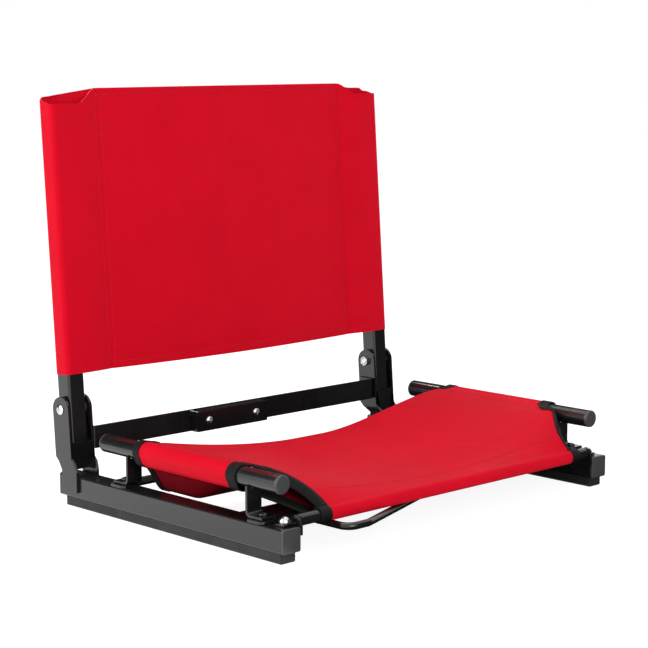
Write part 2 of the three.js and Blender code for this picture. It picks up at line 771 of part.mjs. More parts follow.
function spliceScrew([x, z]) {
  const front = barFront - FIT - SPLICE_DEPTH - FIT;
  const length = SPLICE_DEPTH + PLATE + 3 * FIT + SCREW_SIZE;
  const screw = solid(boltGeometry(SCREW_SIZE, length, SCREW_HEAD, SCREW_HEAD_RISE).rotateX(Math.PI));
  return screw.translate([x, front, z]);
}

function addCrossBar() {
  const [leftScrew, rightScrew] = spliceScrewPlaces();
  const right = crossBar(SPLICE_OFFSET + FIT / 2, rightScrew[0]);
  const left = crossBar(-SPLICE_OFFSET + FIT / 2, -leftScrew[0]).mirror([1, 0, 0]);
  addPiece(frame, 'right_cross_bar', right, blackPaint);
  addPiece(frame, 'left_cross_bar', left, blackPaint);
  addPiece(frame, 'splice_channel', splice(), blackPaint);
  addPiece(frame, 'left_splice_screw', spliceScrew(leftScrew), steel);
  addPiece(frame, 'right_splice_screw', spliceScrew(rightScrew), steel);
}

// Bar that holds the bench hook: its ends turn down on the inner faces of the rails

function hookBarSection() {
  const end = railInner - FIT;
  const top = hookBarLow + PLATE;
  const low = top - HOOK_BAR_FLANGE;
  return polygon([
    [top, -end],
    [top, end],
    [low, end],
    [low, end - PLATE],
    [hookBarLow, end - PLATE],
    [hookBarLow, PLATE - end],
    [low, PLATE - end],
    [low, -end],
  ]);
}

// A clip passes under the wire, with a foot against the bar on each side of it
function hookClip(x) {
  const inside = HOOK_WIRE / 2 + FIT;
  const outside = inside + CLIP_PLATE;
  const seatZ = hookBarLow - FIT;
  const foot = outside + CLIP_FOOT;
  const outline = new THREE.Shape();
  outline.moveTo(HOOK_PIVOT - foot, seatZ - CLIP_PLATE);
  outline.lineTo(HOOK_PIVOT - outside, seatZ - CLIP_PLATE);
  outline.lineTo(HOOK_PIVOT - outside, hookZ);
  outline.absarc(HOOK_PIVOT, hookZ, outside, Math.PI, Math.PI * 2, false);
  outline.lineTo(HOOK_PIVOT + outside, seatZ - CLIP_PLATE);
  outline.lineTo(HOOK_PIVOT + foot, seatZ - CLIP_PLATE);
  outline.lineTo(HOOK_PIVOT + foot, seatZ);
  outline.lineTo(HOOK_PIVOT + inside, seatZ);
  outline.lineTo(HOOK_PIVOT + inside, hookZ);
  outline.absarc(HOOK_PIVOT, hookZ, inside, 0, -Math.PI, true);
  outline.lineTo(HOOK_PIVOT - inside, seatZ);
  outline.lineTo(HOOK_PIVOT - foot, seatZ);
  return extrudeX(outline, x - CLIP_WIDTH / 2, x + CLIP_WIDTH / 2, BEND_STEPS * 2);
}

// The wire runs forward, turns, and comes back across the seat to its second clip
class RoundedRoute extends THREE.CurvePath {
  constructor(points, radius) {
    super();
    let from = points[0];
    for (let index = 1; index < points.length - 1; index += 1) {
      const corner = points[index];
      const inward = points[index - 1].clone().sub(corner).normalize();
      const outward = points[index + 1].clone().sub(corner).normalize();
      const half = inward.angleTo(outward) / 2;
      const back = radius / Math.tan(half);
      const enter = corner.clone().addScaledVector(inward, back);
      const leave = corner.clone().addScaledVector(outward, back);
      const middle = inward.clone().add(outward).normalize();
      const centre = corner.clone().addScaledVector(middle, radius / Math.sin(half));
      this.add(new THREE.LineCurve3(from, enter));
      from = this.addArc(enter, leave, centre, radius);
    }
    this.add(new THREE.LineCurve3(from, points[points.length - 1]));
  }

  addArc(enter, leave, centre, radius) {
    const start = enter.clone().sub(centre);
    const end = leave.clone().sub(centre);
    let from = enter;
    for (let step = 1; step <= BEND_STEPS; step += 1) {
      const share = step / BEND_STEPS;
      const to = start.clone().lerp(end, share).setLength(radius).add(centre);
      const point = step === BEND_STEPS ? leave : to;
      this.add(new THREE.LineCurve3(from, point));
      from = point;
    }
    return from;
  }
}

function hookRoute() {
  const rear = HOOK_PIVOT;
  return [
    [-HOOK_LEG + HOOK_END, rear],
    [-HOOK_LEG, rear],
    [-HOOK_LEG, HOOK_FRONT],
    [-HOOK_NOSE, HOOK_FRONT],
    [HOOK_FAR, rear],
    [HOOK_FAR + HOOK_END, rear],
  ].map(([x, y]) => new THREE.Vector3(x, y, hookZ));
}

// Ring after ring along the route, in the plane that halves each bend
function wireGeometry(points, radius, sides) {
  const positions = [];
  const index = [];
  points.forEach((point, at) => {
    const before = points[Math.max(at - 1, 0)];
    const after = points[Math.min(at + 1, points.length - 1)];
    const along = after.clone().sub(before).normalize();
    const out = new THREE.Vector3(along.y, -along.x, 0);
    for (let side = 0; side < sides; side += 1) {
      const turn = (side / sides) * Math.PI * 2;
      const place = point.clone().addScaledVector(out, radius * Math.cos(turn));
      positions.push(place.x, place.y, place.z + radius * Math.sin(turn));
    }
  });
  for (let ring = 0; ring < points.length - 1; ring += 1) {
    for (let side = 0; side < sides; side += 1) {
      const next = (side + 1) % sides;
      const a = ring * sides + side;
      const b = ring * sides + next;
      index.push(a, a + sides, b, b, a + sides, b + sides);
    }
  }
  const last = (points.length - 1) * sides;
  for (let side = 1; side < sides - 1; side += 1) {
    index.push(0, side, side + 1);
    index.push(last, last + side + 1, last + side);
  }
  const geometry = new THREE.BufferGeometry();
  geometry.setAttribute('position', new THREE.Float32BufferAttribute(positions, 3));
  geometry.setIndex(index);
  return geometry;
}

function hookPoints() {
  const route = new RoundedRoute(hookRoute(), HOOK_BEND);
  const points = [route.curves[0].v1];
  route.curves.forEach((curve) => points.push(curve.v2));
  return points;
}

function addHook() {
  const from = HOOK_PIVOT - HOOK_BAR_WIDTH / 2;
  const bar = extrudeY(hookBarSection(), from, from + HOOK_BAR_WIDTH);
  addPiece(frame, 'hook_bar', bar, blackPaint);
  addPiece(frame, 'left_hook_clip', hookClip(-HOOK_LEG + HOOK_END - CLIP_WIDTH / 2), blackPaint);
  addPiece(frame, 'right_hook_clip', hookClip(HOOK_FAR + HOOK_END - CLIP_WIDTH / 2), blackPaint);
  addPiece(frame, 'bench_hook', solid(wireGeometry(hookPoints(), HOOK_WIRE / 2, BOLT_SIDES)), blackPaint);
}

// Sling: a sheet between the seat tubes and the front tube, with a sleeve on each

function slingHeight(across, edgeHeight, middleHeight) {
  return middleHeight + (edgeHeight - middleHeight) * Math.abs(across) ** SLING_CURVE_SHARE;
}

// Each row of the sheet: its place, its half width, and its height at edge and middle
function slingRows() {
  const tubeTop = SEAT_TUBE_HEIGHT + seatTubeRadius + FIT + CLOTH;
  const frontTop = frontTubeHeight + frontTubeRadius + FIT + CLOTH;
  const rearMiddle = tubeTop - SLING_SAG;
  const middleAt = (y) => {
    const share = (y - FRONT_TUBE_SETBACK) / (slingRear - FRONT_TUBE_SETBACK);
    return frontTop + (rearMiddle - frontTop) * share;
  };
  const frontHalf = FRONT_SLEEVE / 2;
  const rows = CORNER_SHARES.map(([back, out, up]) => {
    const y = FRONT_TUBE_SETBACK + (slingFront - FRONT_TUBE_SETBACK) * back;
    const half = frontHalf + (railAxis - frontHalf) * out;
    return { y, half, edge: frontTop + (tubeTop - frontTop) * up, middle: middleAt(y) };
  });
  for (let step = 1; step <= SLING_ROWS; step += 1) {
    const y = slingFront + ((slingRear - slingFront) * step) / SLING_ROWS;
    rows.push({ y, half: railAxis, edge: tubeTop, middle: middleAt(y) });
  }
  return rows;
}

// A closed sheet from rows of points on its upper side
function sheetGeometry(rows, columns, thickness) {
  const positions = [];
  const index = [];
  const across = columns + 1;
  const layer = rows.length * across;
  [0, thickness].forEach((below) => {
    rows.forEach((row) => {
      for (let column = 0; column <= columns; column += 1) {
        const u = (2 * column) / columns - 1;
        positions.push(u * row.half, row.y, slingHeight(u, row.edge, row.middle) - below);
      }
    });
  });
  const quad = (a, b, c, d) => index.push(a, b, c, a, c, d);
  for (let r = 0; r < rows.length - 1; r += 1) {
    for (let c = 0; c < columns; c += 1) {
      const a = r * across + c;
      quad(a, a + 1, a + 1 + across, a + across);
      quad(layer + a, layer + a + across, layer + a + 1 + across, layer + a + 1);
    }
    const left = r * across;
    const right = left + columns;
    quad(left, left + across, layer + left + across, layer + left);
    quad(right, layer + right, layer + right + across, right + across);
  }
  for (let c = 0; c < columns; c += 1) {
    const rear = (rows.length - 1) * across + c;
    quad(c, layer + c, layer + c + 1, c + 1);
    quad(rear, rear + 1, layer + rear + 1, layer + rear);
  }
  const geometry = new THREE.BufferGeometry();
  geometry.setAttribute('position', new THREE.Float32BufferAttribute(positions, 3));
  geometry.setIndex(index);
  return geometry;
}

// A side sleeve is loose: round over the tube, slack below it and sewn to the sheet
// inside it, so the cloth spans from the tube to the slack and on to the seam
function sleeveBody(radius, seamRadius, from, to) {
  const seamAt = railAxis - SLEEVE_SEAM;
  const low = slingRows().find((row) => row.half === railAxis);
  const seamZ = slingHeight(seamAt / railAxis, low.edge, low.middle) - CLOTH;
  const slackAt = railAxis - SLEEVE_SLACK_IN;
  return wasm.Manifold.hull([
    cylinderY(radius, from, to, railAxis, SEAT_TUBE_HEIGHT),
    cylinderY(radius, from, to, slackAt, SEAT_TUBE_HEIGHT - SLEEVE_SLACK),
    cylinderY(seamRadius, from, to, seamAt, seamZ, BOLT_SIDES),
  ]);
}

function sideSleeve() {
  const inside = seatTubeRadius + FIT;
  const outer = sleeveBody(inside + CLOTH, CLOTH, slingFront, slingRear);
  return cut(outer, sleeveBody(inside, FIT, slingFront - OVERRUN, slingRear + OVERRUN));
}

function frontSleeve() {
  const inside = frontTubeRadius + FIT;
  const half = FRONT_SLEEVE / 2;
  const outer = cylinderX(inside + CLOTH, -half, half, FRONT_TUBE_SETBACK, frontTubeHeight, ROUND_SIDES);
  const bore = cylinderX(
    inside,
    -half - OVERRUN,
    half + OVERRUN,
    FRONT_TUBE_SETBACK,
    frontTubeHeight,
    ROUND_SIDES,
  );
  return cut(outer, bore);
}

function sling() {
  const sheet = solid(sheetGeometry(slingRows(), SLING_COLUMNS, CLOTH));
  const sleeve = sideSleeve();
  const tube = cylinderY(
    seatTubeRadius + FIT,
    slingFront - OVERRUN,
    slingRear + OVERRUN,
    railAxis,
    SEAT_TUBE_HEIGHT,
  );
  return cut(
    join(sheet, sleeve, sleeve.mirror([1, 0, 0]), frontSleeve()),
    tube,
    tube.mirror([1, 0, 0]),
  );
}

// Uprights and back panel, about the pivot axis and before they are reclined

function upright() {
  const section = squareTubeSection(UPRIGHT_SIZE, UPRIGHT_WALL, UPRIGHT_CORNER);
  const tube = extrudeZ(section, -UPRIGHT_BELOW, uprightAbove);
  const bore = cylinderX(PIVOT_BOLT / 2 + FIT, -UPRIGHT_SIZE, UPRIGHT_SIZE, 0, 0);
  return cut(tube, bore).translate([uprightAxis, 0, 0]);
}

function uprightPlug() {
  const plug = squarePlug(UPRIGHT_SIZE, UPRIGHT_WALL, UPRIGHT_CORNER).rotate([-90, 0, 0]);
  return plug.translate([uprightAxis, 0, uprightAbove + FIT + PLUG_FACE]);
}

function panelFront(x) {
  const bow = PANEL_BOW * Math.max(1 - (x / (PANEL_SEAMS / 2)) ** 2, 0);
  return bow - UPRIGHT_SIZE / 2 - FIT - CLOTH;
}

// The panel from above: one doubled sheet, with a pocket round each upright
function panelSection() {
  const seam = PANEL_SEAMS / 2;
  const reach = UPRIGHT_SIZE / 2 + FIT + CLOTH;
  const outer = uprightAxis + reach;
  const inner = uprightAxis - reach;
  const front = [];
  const rear = [];
  for (let step = 0; step <= PANEL_STEPS; step += 1) {
    const x = seam * ((2 * step) / PANEL_STEPS - 1);
    front.push([x, panelFront(x)]);
    rear.unshift([x, panelFront(x) + 2 * CLOTH]);
  }
  return polygon([
    [-outer, -reach],
    ...front,
    [outer, -reach],
    [outer, reach],
    [inner, reach],
    ...rear,
    [-inner, reach],
    [-outer, reach],
  ]);
}

function panelPocket() {
  const reach = UPRIGHT_SIZE / 2 + FIT;
  const outer = uprightAxis + reach;
  const inner = uprightAxis - reach;
  const seam = PANEL_SEAMS / 2 + 2 * CLOTH;
  const pocket = polygon([
    [seam, -reach],
    [outer, -reach],
    [outer, reach],
    [inner, reach],
  ]);
  return extrudeZ(pocket, PANEL_FOOT - OVERRUN, uprightAbove + FIT + PLUG_FACE + FIT);
}

// The panel from the front: the top edge drops from the seams to the corners
function panelFace() {
  const outer = uprightAxis + UPRIGHT_SIZE / 2 + FIT + CLOTH + OVERRUN;
  const seam = PANEL_SEAMS / 2;
  return polygon([
    [PANEL_FOOT, outer],
    [PANEL_FOOT, -outer],
    [PANEL_FOOT + panelSideHeight, -outer],
    [PANEL_FOOT + PANEL_HEIGHT, -seam],
    [PANEL_FOOT + PANEL_HEIGHT, seam],
    [PANEL_FOOT + panelSideHeight, outer],
  ]);
}

function panel() {
  const whole = extrudeZ(panelSection(), PANEL_FOOT, PANEL_FOOT + PANEL_HEIGHT);
  const face = extrudeY(panelFace(), -UPRIGHT_SIZE, UPRIGHT_SIZE);
  const pocket = panelPocket();
  return cut(whole.intersect(face), pocket, pocket.mirror([1, 0, 0]));
}

function addBack() {
  addPair(back, 'upright', upright(), blackPaint);
  addPair(back, 'upright_top_plug', uprightPlug(), blackPlastic);
  addPiece(back, 'back_panel', panel(), redCloth);
  back.position.set(0, pivotY, pivotZ);
  back.rotation.x = -RECLINE;
}

addRails();
addFootStrips();
addSeatTubes();
addStraps();
addFlatBars();
addFrontTube();
addBrackets();
addPivots();
addCrossBar();
addHook();
addPiece(frame, 'seat_sling', sling(), redCloth);
addBack();

// The origin goes to the middle of the floor that the seat covers
seat.updateMatrixWorld(true);
const extent = new THREE.Box3().setFromObject(seat, true);
const middle = extent.getCenter(new THREE.Vector3());
seat.position.set(-middle.x, -middle.y, -extent.min.z);

export default seat;
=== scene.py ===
"""Folding stadium seat: black painted steel, a red cloth sling and a red cloth back.

Metres. X runs across, Y backwards, Z up, and left and right are as seen from the front.
"""

import math

import bpy
import numpy as np
from mathutils import Matrix, Vector


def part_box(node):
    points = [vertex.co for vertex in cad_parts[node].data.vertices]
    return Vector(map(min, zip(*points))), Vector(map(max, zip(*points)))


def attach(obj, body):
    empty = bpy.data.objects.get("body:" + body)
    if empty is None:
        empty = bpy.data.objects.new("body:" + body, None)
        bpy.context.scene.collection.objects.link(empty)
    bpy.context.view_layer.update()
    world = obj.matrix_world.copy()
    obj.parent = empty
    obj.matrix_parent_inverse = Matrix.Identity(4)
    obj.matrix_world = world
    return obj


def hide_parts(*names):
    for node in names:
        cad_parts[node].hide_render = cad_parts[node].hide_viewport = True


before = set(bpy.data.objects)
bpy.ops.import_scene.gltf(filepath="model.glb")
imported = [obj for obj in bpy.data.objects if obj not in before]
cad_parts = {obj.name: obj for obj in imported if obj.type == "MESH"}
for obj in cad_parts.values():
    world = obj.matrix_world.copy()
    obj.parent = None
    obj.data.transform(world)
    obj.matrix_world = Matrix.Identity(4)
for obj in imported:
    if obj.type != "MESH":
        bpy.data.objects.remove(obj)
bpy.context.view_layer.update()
bpy.ops.object.select_all(action="DESELECT")

# Camera
# A long lens at a little over two metres, to the front and left of the seat, looking
# down by eight degrees.
CAMERA_PLACE = (-1.51411, -1.551854, 0.51197)
CAMERA_YAW = math.radians(-44.01)
CAMERA_DROP = math.radians(8.26)
CAMERA_LENS = 106.63
SENSOR = 36

camera_turn = (math.pi / 2 - CAMERA_DROP, 0, CAMERA_YAW)
bpy.ops.object.camera_add(location=CAMERA_PLACE, rotation=camera_turn)
camera = bpy.context.object
camera.data.lens = CAMERA_LENS
camera.data.sensor_width = SENSOR
bpy.context.scene.camera = camera
bpy.context.scene.view_settings.view_transform = "Standard"

# Floor
# A wide white studio sweep. It shows white to the eye and in gloss, and keeps a faint
# shadow under the seat.
FLOOR_SIZE = 14
FLOOR_PAINT = (0.82, 0.82, 0.82, 1)
FLOOR_SHADOW_SHARE = 0.4
FLOOR_GLOW = 1.5


def join_value(tree, source, socket):
    """Links a socket, or sets a plain value."""
    if isinstance(source, bpy.types.NodeSocket):
        tree.links.new(source, socket)
    else:
        socket.default_value = source


def add_node(tree, kind, inputs=None, **settings):
    made = tree.nodes.new(kind)
    for key, value in settings.items():
        setattr(made, key, value)
    for label, value in (inputs or {}).items():
        join_value(tree, value, made.inputs[label])
    return made


def calc(tree, operation, *values):
    step = add_node(tree, "ShaderNodeMath", operation=operation)
    for socket, value in zip(step.inputs, values):
        join_value(tree, value, socket)
    return step.outputs[0]


def new_material(name):
    """A new material with nodes: (material, its tree, its Principled shader)."""
    made = bpy.data.materials.new(name)
    made.use_nodes = True
    return made, made.node_tree, made.node_tree.nodes["Principled BSDF"]


def shown_white(tree, plain, white, share):
    """Plain to the light, but for a share white to the eye, in gloss and through glass."""
    path = add_node(tree, "ShaderNodeLightPath").outputs
    shown = calc(tree, "MAXIMUM", path["Is Camera Ray"], path["Is Glossy Ray"])
    shown = calc(tree, "MAXIMUM", shown, path["Is Transmission Ray"])
    shown = calc(tree, "MULTIPLY", shown, share)
    layers = {"Fac": shown, 1: plain.outputs[0], 2: white.outputs[0]}
    return add_node(tree, "ShaderNodeMixShader", layers).outputs[0]


bpy.ops.mesh.primitive_plane_add(size=FLOOR_SIZE, location=(0, 0, 0))
floor = bpy.context.object
floor.name = "studio_floor"
floor_paint, floor_tree, _ = new_material("studio_floor")
floor_tree.nodes.clear()
floor_matt = add_node(floor_tree, "ShaderNodeBsdfDiffuse", {"Color": FLOOR_PAINT})
floor_white = add_node(floor_tree, "ShaderNodeEmission", {"Strength": FLOOR_GLOW})
floor_shown = shown_white(floor_tree, floor_matt, floor_white, 1 - FLOOR_SHADOW_SHARE)
add_node(floor_tree, "ShaderNodeOutputMaterial", {"Surface": floor_shown})
floor.data.materials.append(floor_paint)

# Light
# Soft boxes on the left, overhead, behind and in front. Black flags behind the seat, on
# its right and on the floor there keep the gloss of the black paint deep.
WORLD_STRENGTH = 0.5
WHITE = (1, 1, 1, 1)
FLAG_BLACK = (0.003, 0.003, 0.003, 1)
SEAT_MIDDLE = (0, 0, 0.2)

world = bpy.data.worlds.new("studio")
bpy.context.scene.world = world
world.use_nodes = True
sky = world.node_tree
sky_light = sky.nodes["Background"]
sky_light.inputs["Strength"].default_value = WORLD_STRENGTH
sky_light.inputs["Color"].default_value = WHITE
sky_white = add_node(sky, "ShaderNodeBackground", {"Color": WHITE})
join_value(sky, shown_white(sky, sky_light, sky_white, 1), sky.nodes["World Output"].inputs[0])


def set_values(shader, values):
    for label, value in values.items():
        shader.inputs[label.replace("_", " ")].default_value = value


flag_cloth, _, flag_shader = new_material("black_flag")
set_values(flag_shader, {"Base Color": FLAG_BLACK, "Roughness": 1})


def black_flag(name, place, size, toward):
    """A black card that shows in gloss only, turned to face a point."""
    turn = (Vector(toward) - Vector(place)).to_track_quat("Z", "Y").to_euler()
    bpy.ops.mesh.primitive_plane_add(size=1, location=place, rotation=turn)
    flag = bpy.context.object
    flag.scale = (*size, 1)
    flag.name = name
    flag.data.materials.append(flag_cloth)
    flag.visible_camera = False
    flag.visible_diffuse = False
    flag.visible_shadow = False
    flag.visible_transmission = False


def soft_light(name, place, size, power):
    """A square soft light that faces the middle of the seat."""
    turn = (Vector(SEAT_MIDDLE) - Vector(place)).to_track_quat("-Z", "Y").to_euler()
    bpy.ops.object.light_add(type="AREA", location=place, rotation=turn)
    lamp = bpy.context.object
    lamp.name = name
    lamp.data.size = size
    lamp.data.energy = power


soft_light("left_softbox", (-1.9, 0.7, 1.0), size=1.3, power=23)
soft_light("overhead_softbox", (-0.2, 0.3, 2.4), size=1.6, power=17)
soft_light("rear_softbox", (0.35, 1.9, 1.9), size=0.6, power=24)
soft_light("front_fill", (-0.9, -2.7, 1.0), size=1.6, power=33)
black_flag("rear_flag", (0.6, 2.8, 1.6), size=(6.5, 3.6), toward=(0.6, 0, 1.6))
black_flag("floor_flag", (1.385, -1.3, 0.0012), size=(3.23, 3.2), toward=(1.385, -1.3, 1))
black_flag("front_flag", (2.7, -2.2, 1.0), size=(3.6, 2.6), toward=(0, 0, 0.3))

# Rails
# Square steel tube, saw-cut and deburred, then powder-coated gloss black. The rounded
# long edges come from the tube mill.
RAIL_WALL = 0.0015
RAIL_CORNER = 0.0022
SAWN_EDGE = 0.0002
PAINT_RELIEF = 0.0004
PAINT_COLOR = (0.0065, 0.0065, 0.007, 1)


def select_only(piece):
    bpy.ops.object.select_all(action="DESELECT")
    piece.select_set(True)
    bpy.context.view_layer.objects.active = piece


def enter_edit(piece, action):
    select_only(piece)
    bpy.ops.object.mode_set(mode="EDIT")
    bpy.ops.mesh.select_all(action=action)


def leave_edit():
    bpy.ops.object.mode_set(mode="OBJECT")


def mark(piece, kind, chosen):
    """Selects, in edit mode, the faces or edges for which chosen(element) holds."""
    select_only(piece)
    bpy.ops.object.mode_set(mode="EDIT")
    bpy.ops.mesh.select_mode(type=kind)
    bpy.ops.mesh.select_all(action="DESELECT")
    leave_edit()
    elements = piece.data.polygons if kind == "FACE" else piece.data.edges
    for element in elements:
        element.select = bool(chosen(element))
    bpy.ops.object.mode_set(mode="EDIT")


def place_in_mesh(piece, name):
    """Moves the object's place and size into its mesh and names it."""
    select_only(piece)
    bpy.ops.object.transform_apply(location=True, rotation=True, scale=True)
    piece.name = piece.data.name = name
    return piece


def apply_modifier(piece, kind, **settings):
    select_only(piece)
    step = piece.modifiers.new(kind.lower(), kind)
    for key, value in settings.items():
        setattr(step, key, value)
    bpy.ops.object.modifier_apply(modifier=step.name)


def smooth(piece, degrees=35):
    select_only(piece)
    bpy.ops.object.shade_smooth_by_angle(angle=math.radians(degrees))


def flatten_faces(piece):
    """Large faces keep their own normal, so that only the small edge faces look round."""
    apply_modifier(piece, "WEIGHTED_NORMAL", mode="FACE_AREA", weight=100, keep_sharp=True)


def dress(piece, node, body, finish):
    """Gives a finished piece its material and its body, and hides the node that it stands for.
    """
    if finish:
        piece.data.materials.clear()
        piece.data.materials.append(finish)
    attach(piece, body)
    if node:
        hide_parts(node)


def box_between(name, low, high):
    bpy.ops.mesh.primitive_cube_add(size=1, location=(low + high) / 2, scale=high - low)
    return place_in_mesh(bpy.context.object, name)


def round_long_edges(piece, axis, radius, segments):
    """Bevels the edges that run along one axis."""

    def runs_along(edge):
        start, end = (piece.data.vertices[i].co for i in edge.vertices)
        return abs((end - start).normalized()[axis]) > 0.5

    mark(piece, "EDGE", runs_along)
    bpy.ops.mesh.bevel(offset=radius, segments=segments, affect="EDGES")
    leave_edit()


def finish_tube(tube, wall):
    """Gives an open shell its wall and deburrs its ends."""
    apply_modifier(tube, "SOLIDIFY", thickness=wall, offset=-1)
    apply_modifier(tube, "BEVEL", width=SAWN_EDGE, segments=1, limit_method="ANGLE")
    smooth(tube)
    flatten_faces(tube)
    return tube


def square_tube(name, low, high, axis, wall, corner):
    """A tube between two corners, open at both ends of one axis, with round long edges."""
    tube = box_between(name, Vector(low), Vector(high))
    mark(tube, "FACE", lambda face: abs(face.normal[axis]) > 0.5)
    bpy.ops.mesh.delete(type="ONLY_FACE")
    leave_edit()
    round_long_edges(tube, axis, corner, 5)
    return finish_tube(tube, wall)


def new_group(name, inputs, outputs):
    """An empty shader node group: (its tree, the sockets given to it, those it puts out)."""
    tree = bpy.data.node_groups.new(name, "ShaderNodeTree")
    for way, sockets in (("INPUT", inputs), ("OUTPUT", outputs)):
        for label, kind in sockets.items():
            tree.interface.new_socket(label, in_out=way, socket_type=f"NodeSocket{kind}")
    start, end = tree.nodes.new("NodeGroupInput"), tree.nodes.new("NodeGroupOutput")
    return tree, start.outputs, end.inputs


def noise(tree, spot, scale, detail):
    values = {"Vector": spot, "Scale": scale, "Detail": detail}
    return add_node(tree, "ShaderNodeTexNoise", values).outputs["Fac"]


def spread(tree, value, low, high, to_low=0, to_high=1):
    """Stretches the values between low and high over another range."""
    values = {"Value": value, "From Min": low, "From Max": high}
    values.update({"To Min": to_low, "To Max": to_high})
    return add_node(tree, "ShaderNodeMapRange", values).outputs["Result"]


def mix_color(tree, share, first, second):
    values = {"Factor": share, 6: first, 7: second}
    return add_node(tree, "ShaderNodeMix", values, data_type="RGBA").outputs[2]


def make_handled_surface():
    """Cloudy roughness and a fine height, as sprayed, moulded or plated surfaces have."""
    kinds = {"Vector": "Vector", "Cloud": "Float", "Grain": "Float"}
    kinds.update({"Smooth": "Float", "Rough": "Float"})
    made = {"Roughness": "Float", "Height": "Float"}
    tree, given, put = new_group("handled_surface", kinds, made)
    cloud = noise(tree, given["Vector"], given["Cloud"], 4)
    rough = spread(tree, cloud, 0.3, 0.7, given["Smooth"], given["Rough"])
    join_value(tree, rough, put["Roughness"])
    join_value(tree, noise(tree, given["Vector"], given["Grain"], 3), put["Height"])
    return tree


def make_worn_edge():
    """Where an outer edge is rubbed: a colour mixed in along sharp convex edges."""
    kinds = {"Vector": "Vector", "Color": "Color", "Rubbed": "Color", "Amount": "Float"}
    tree, given, put = new_group("worn_edge", kinds, {"Color": "Color"})
    shape = add_node(tree, "ShaderNodeNewGeometry").outputs
    edge = spread(tree, shape["Pointiness"], 0.53, 0.62)
    broken = calc(tree, "MULTIPLY", edge, noise(tree, given["Vector"], 45, 5))
    share = calc(tree, "MULTIPLY", broken, given["Amount"])
    join_value(tree, mix_color(tree, share, given["Color"], given["Rubbed"]), put["Color"])
    return tree


handled_surface = make_handled_surface()
worn_edge = make_worn_edge()


def hard_finish(name, color, rubbed, wear, rough, cloud, grain, bump, **values):
    """A painted, moulded or plated finish. Rough is a range; cloud and grain are scales."""
    made, tree, shader = new_material(name)
    spot = add_node(tree, "ShaderNodeTexCoord").outputs["Object"]
    smoothest, roughest = rough
    given = {"Vector": spot, "Cloud": cloud, "Grain": grain}
    given.update({"Smooth": smoothest, "Rough": roughest})
    surface = add_node(tree, "ShaderNodeGroup", given, node_tree=handled_surface)
    given = {"Vector": spot, "Color": color, "Rubbed": rubbed, "Amount": wear}
    edge = add_node(tree, "ShaderNodeGroup", given, node_tree=worn_edge)
    height = surface.outputs["Height"]
    given = {"Strength": bump, "Distance": PAINT_RELIEF, "Height": height}
    relief = add_node(tree, "ShaderNodeBump", given)
    join_value(tree, edge.outputs["Color"], shader.inputs["Base Color"])
    join_value(tree, surface.outputs["Roughness"], shader.inputs["Roughness"])
    join_value(tree, relief.outputs["Normal"], shader.inputs["Normal"])
    set_values(shader, values)
    return made


black_paint = hard_finish(
    "gloss_black_powder_coat", PAINT_COLOR, (0.02, 0.02, 0.021, 1), wear=0.5,
    rough=(0.22, 0.34), cloud=22, grain=900, bump=0.02,
    IOR=1.36, Coat_Weight=0.65, Coat_Roughness=0.03,
)

for side in ("left", "right"):
    low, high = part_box(f"{side}_rail")
    rail = square_tube(f"{side}_rail_tube", low, high, 1, RAIL_WALL, RAIL_CORNER)
    dress(rail, f"{side}_rail", "frame", black_paint)

# Plugs
# Black moulded plastic, pushed into the open ends of the square tubes: a flange as wide
# as the tube, with a rounded face, and a stem behind it.
PLUG_FLANGE = 0.0025
PLUG_EDGE = 0.0009
STEM_PLAY = 1.2

black_plastic = hard_finish(
    "black_moulded_plastic", (0.05, 0.05, 0.051, 1), (0.12, 0.12, 0.122, 1), wear=0.4,
    rough=(0.34, 0.46), cloud=40, grain=1600, bump=0.12, IOR=1.5,
)


def rounded_box(name, low, high, axis, corner, edge, edge_side):
    """A box with round edges along one axis, and one rounded face across it."""
    box = box_between(name, Vector(low), Vector(high))
    round_long_edges(box, axis, corner, 6)
    mark(box, "FACE", lambda part: part.normal[axis] * edge_side > 0.5)
    bpy.ops.mesh.region_to_loop()
    bpy.ops.mesh.bevel(offset=edge, segments=3, affect="EDGES")
    leave_edit()
    return box


def join_pieces(name, first, *others):
    select_only(first)
    for other in others:
        other.select_set(True)
    bpy.ops.object.join()
    first.name = first.data.name = name
    return first


def square_plug(name, low, high, axis, sign, wall, corner):
    """A plug whose face looks along one axis."""
    low, high = Vector(low), Vector(high)
    face = high[axis] if sign > 0 else low[axis]
    back = face - sign * PLUG_FLANGE
    flange_low, flange_high = low.copy(), high.copy()
    flange_low[axis] = min(face, back)
    flange_high[axis] = max(face, back)
    inset = Vector((wall, wall, wall)) * STEM_PLAY
    stem_low, stem_high = low + inset, high - inset
    stem_low[axis] = low[axis] if sign > 0 else back
    stem_high[axis] = back if sign > 0 else high[axis]
    flange = rounded_box(name, flange_low, flange_high, axis, corner, PLUG_EDGE, sign)
    stem_shape = (stem_low, stem_high, axis, corner / 3, PLUG_EDGE / 2, -sign)
    plug = join_pieces(name, flange, rounded_box(f"{name}_stem", *stem_shape))
    smooth(plug, 30)
    return plug


for side in ("left", "right"):
    for end, sign in (("front", -1), ("rear", 1)):
        node = f"{side}_rail_{end}_plug"
        low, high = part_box(node)
        plug = square_plug(f"{node}_moulding", low, high, 1, sign, RAIL_WALL, RAIL_CORNER)
        dress(plug, node, "frame", black_plastic)

# Foot strips
# Extruded rubber, fixed along the underside of each rail, with two shallow grooves down
# each side.
STRIP_EDGE = 0.0004

rubber = hard_finish(
    "ribbed_black_rubber", (0.017, 0.017, 0.017, 1), (0.05, 0.05, 0.048, 1), wear=0.5,
    rough=(0.55, 0.75), cloud=60, grain=1400, bump=0.35, IOR=1.45,
)


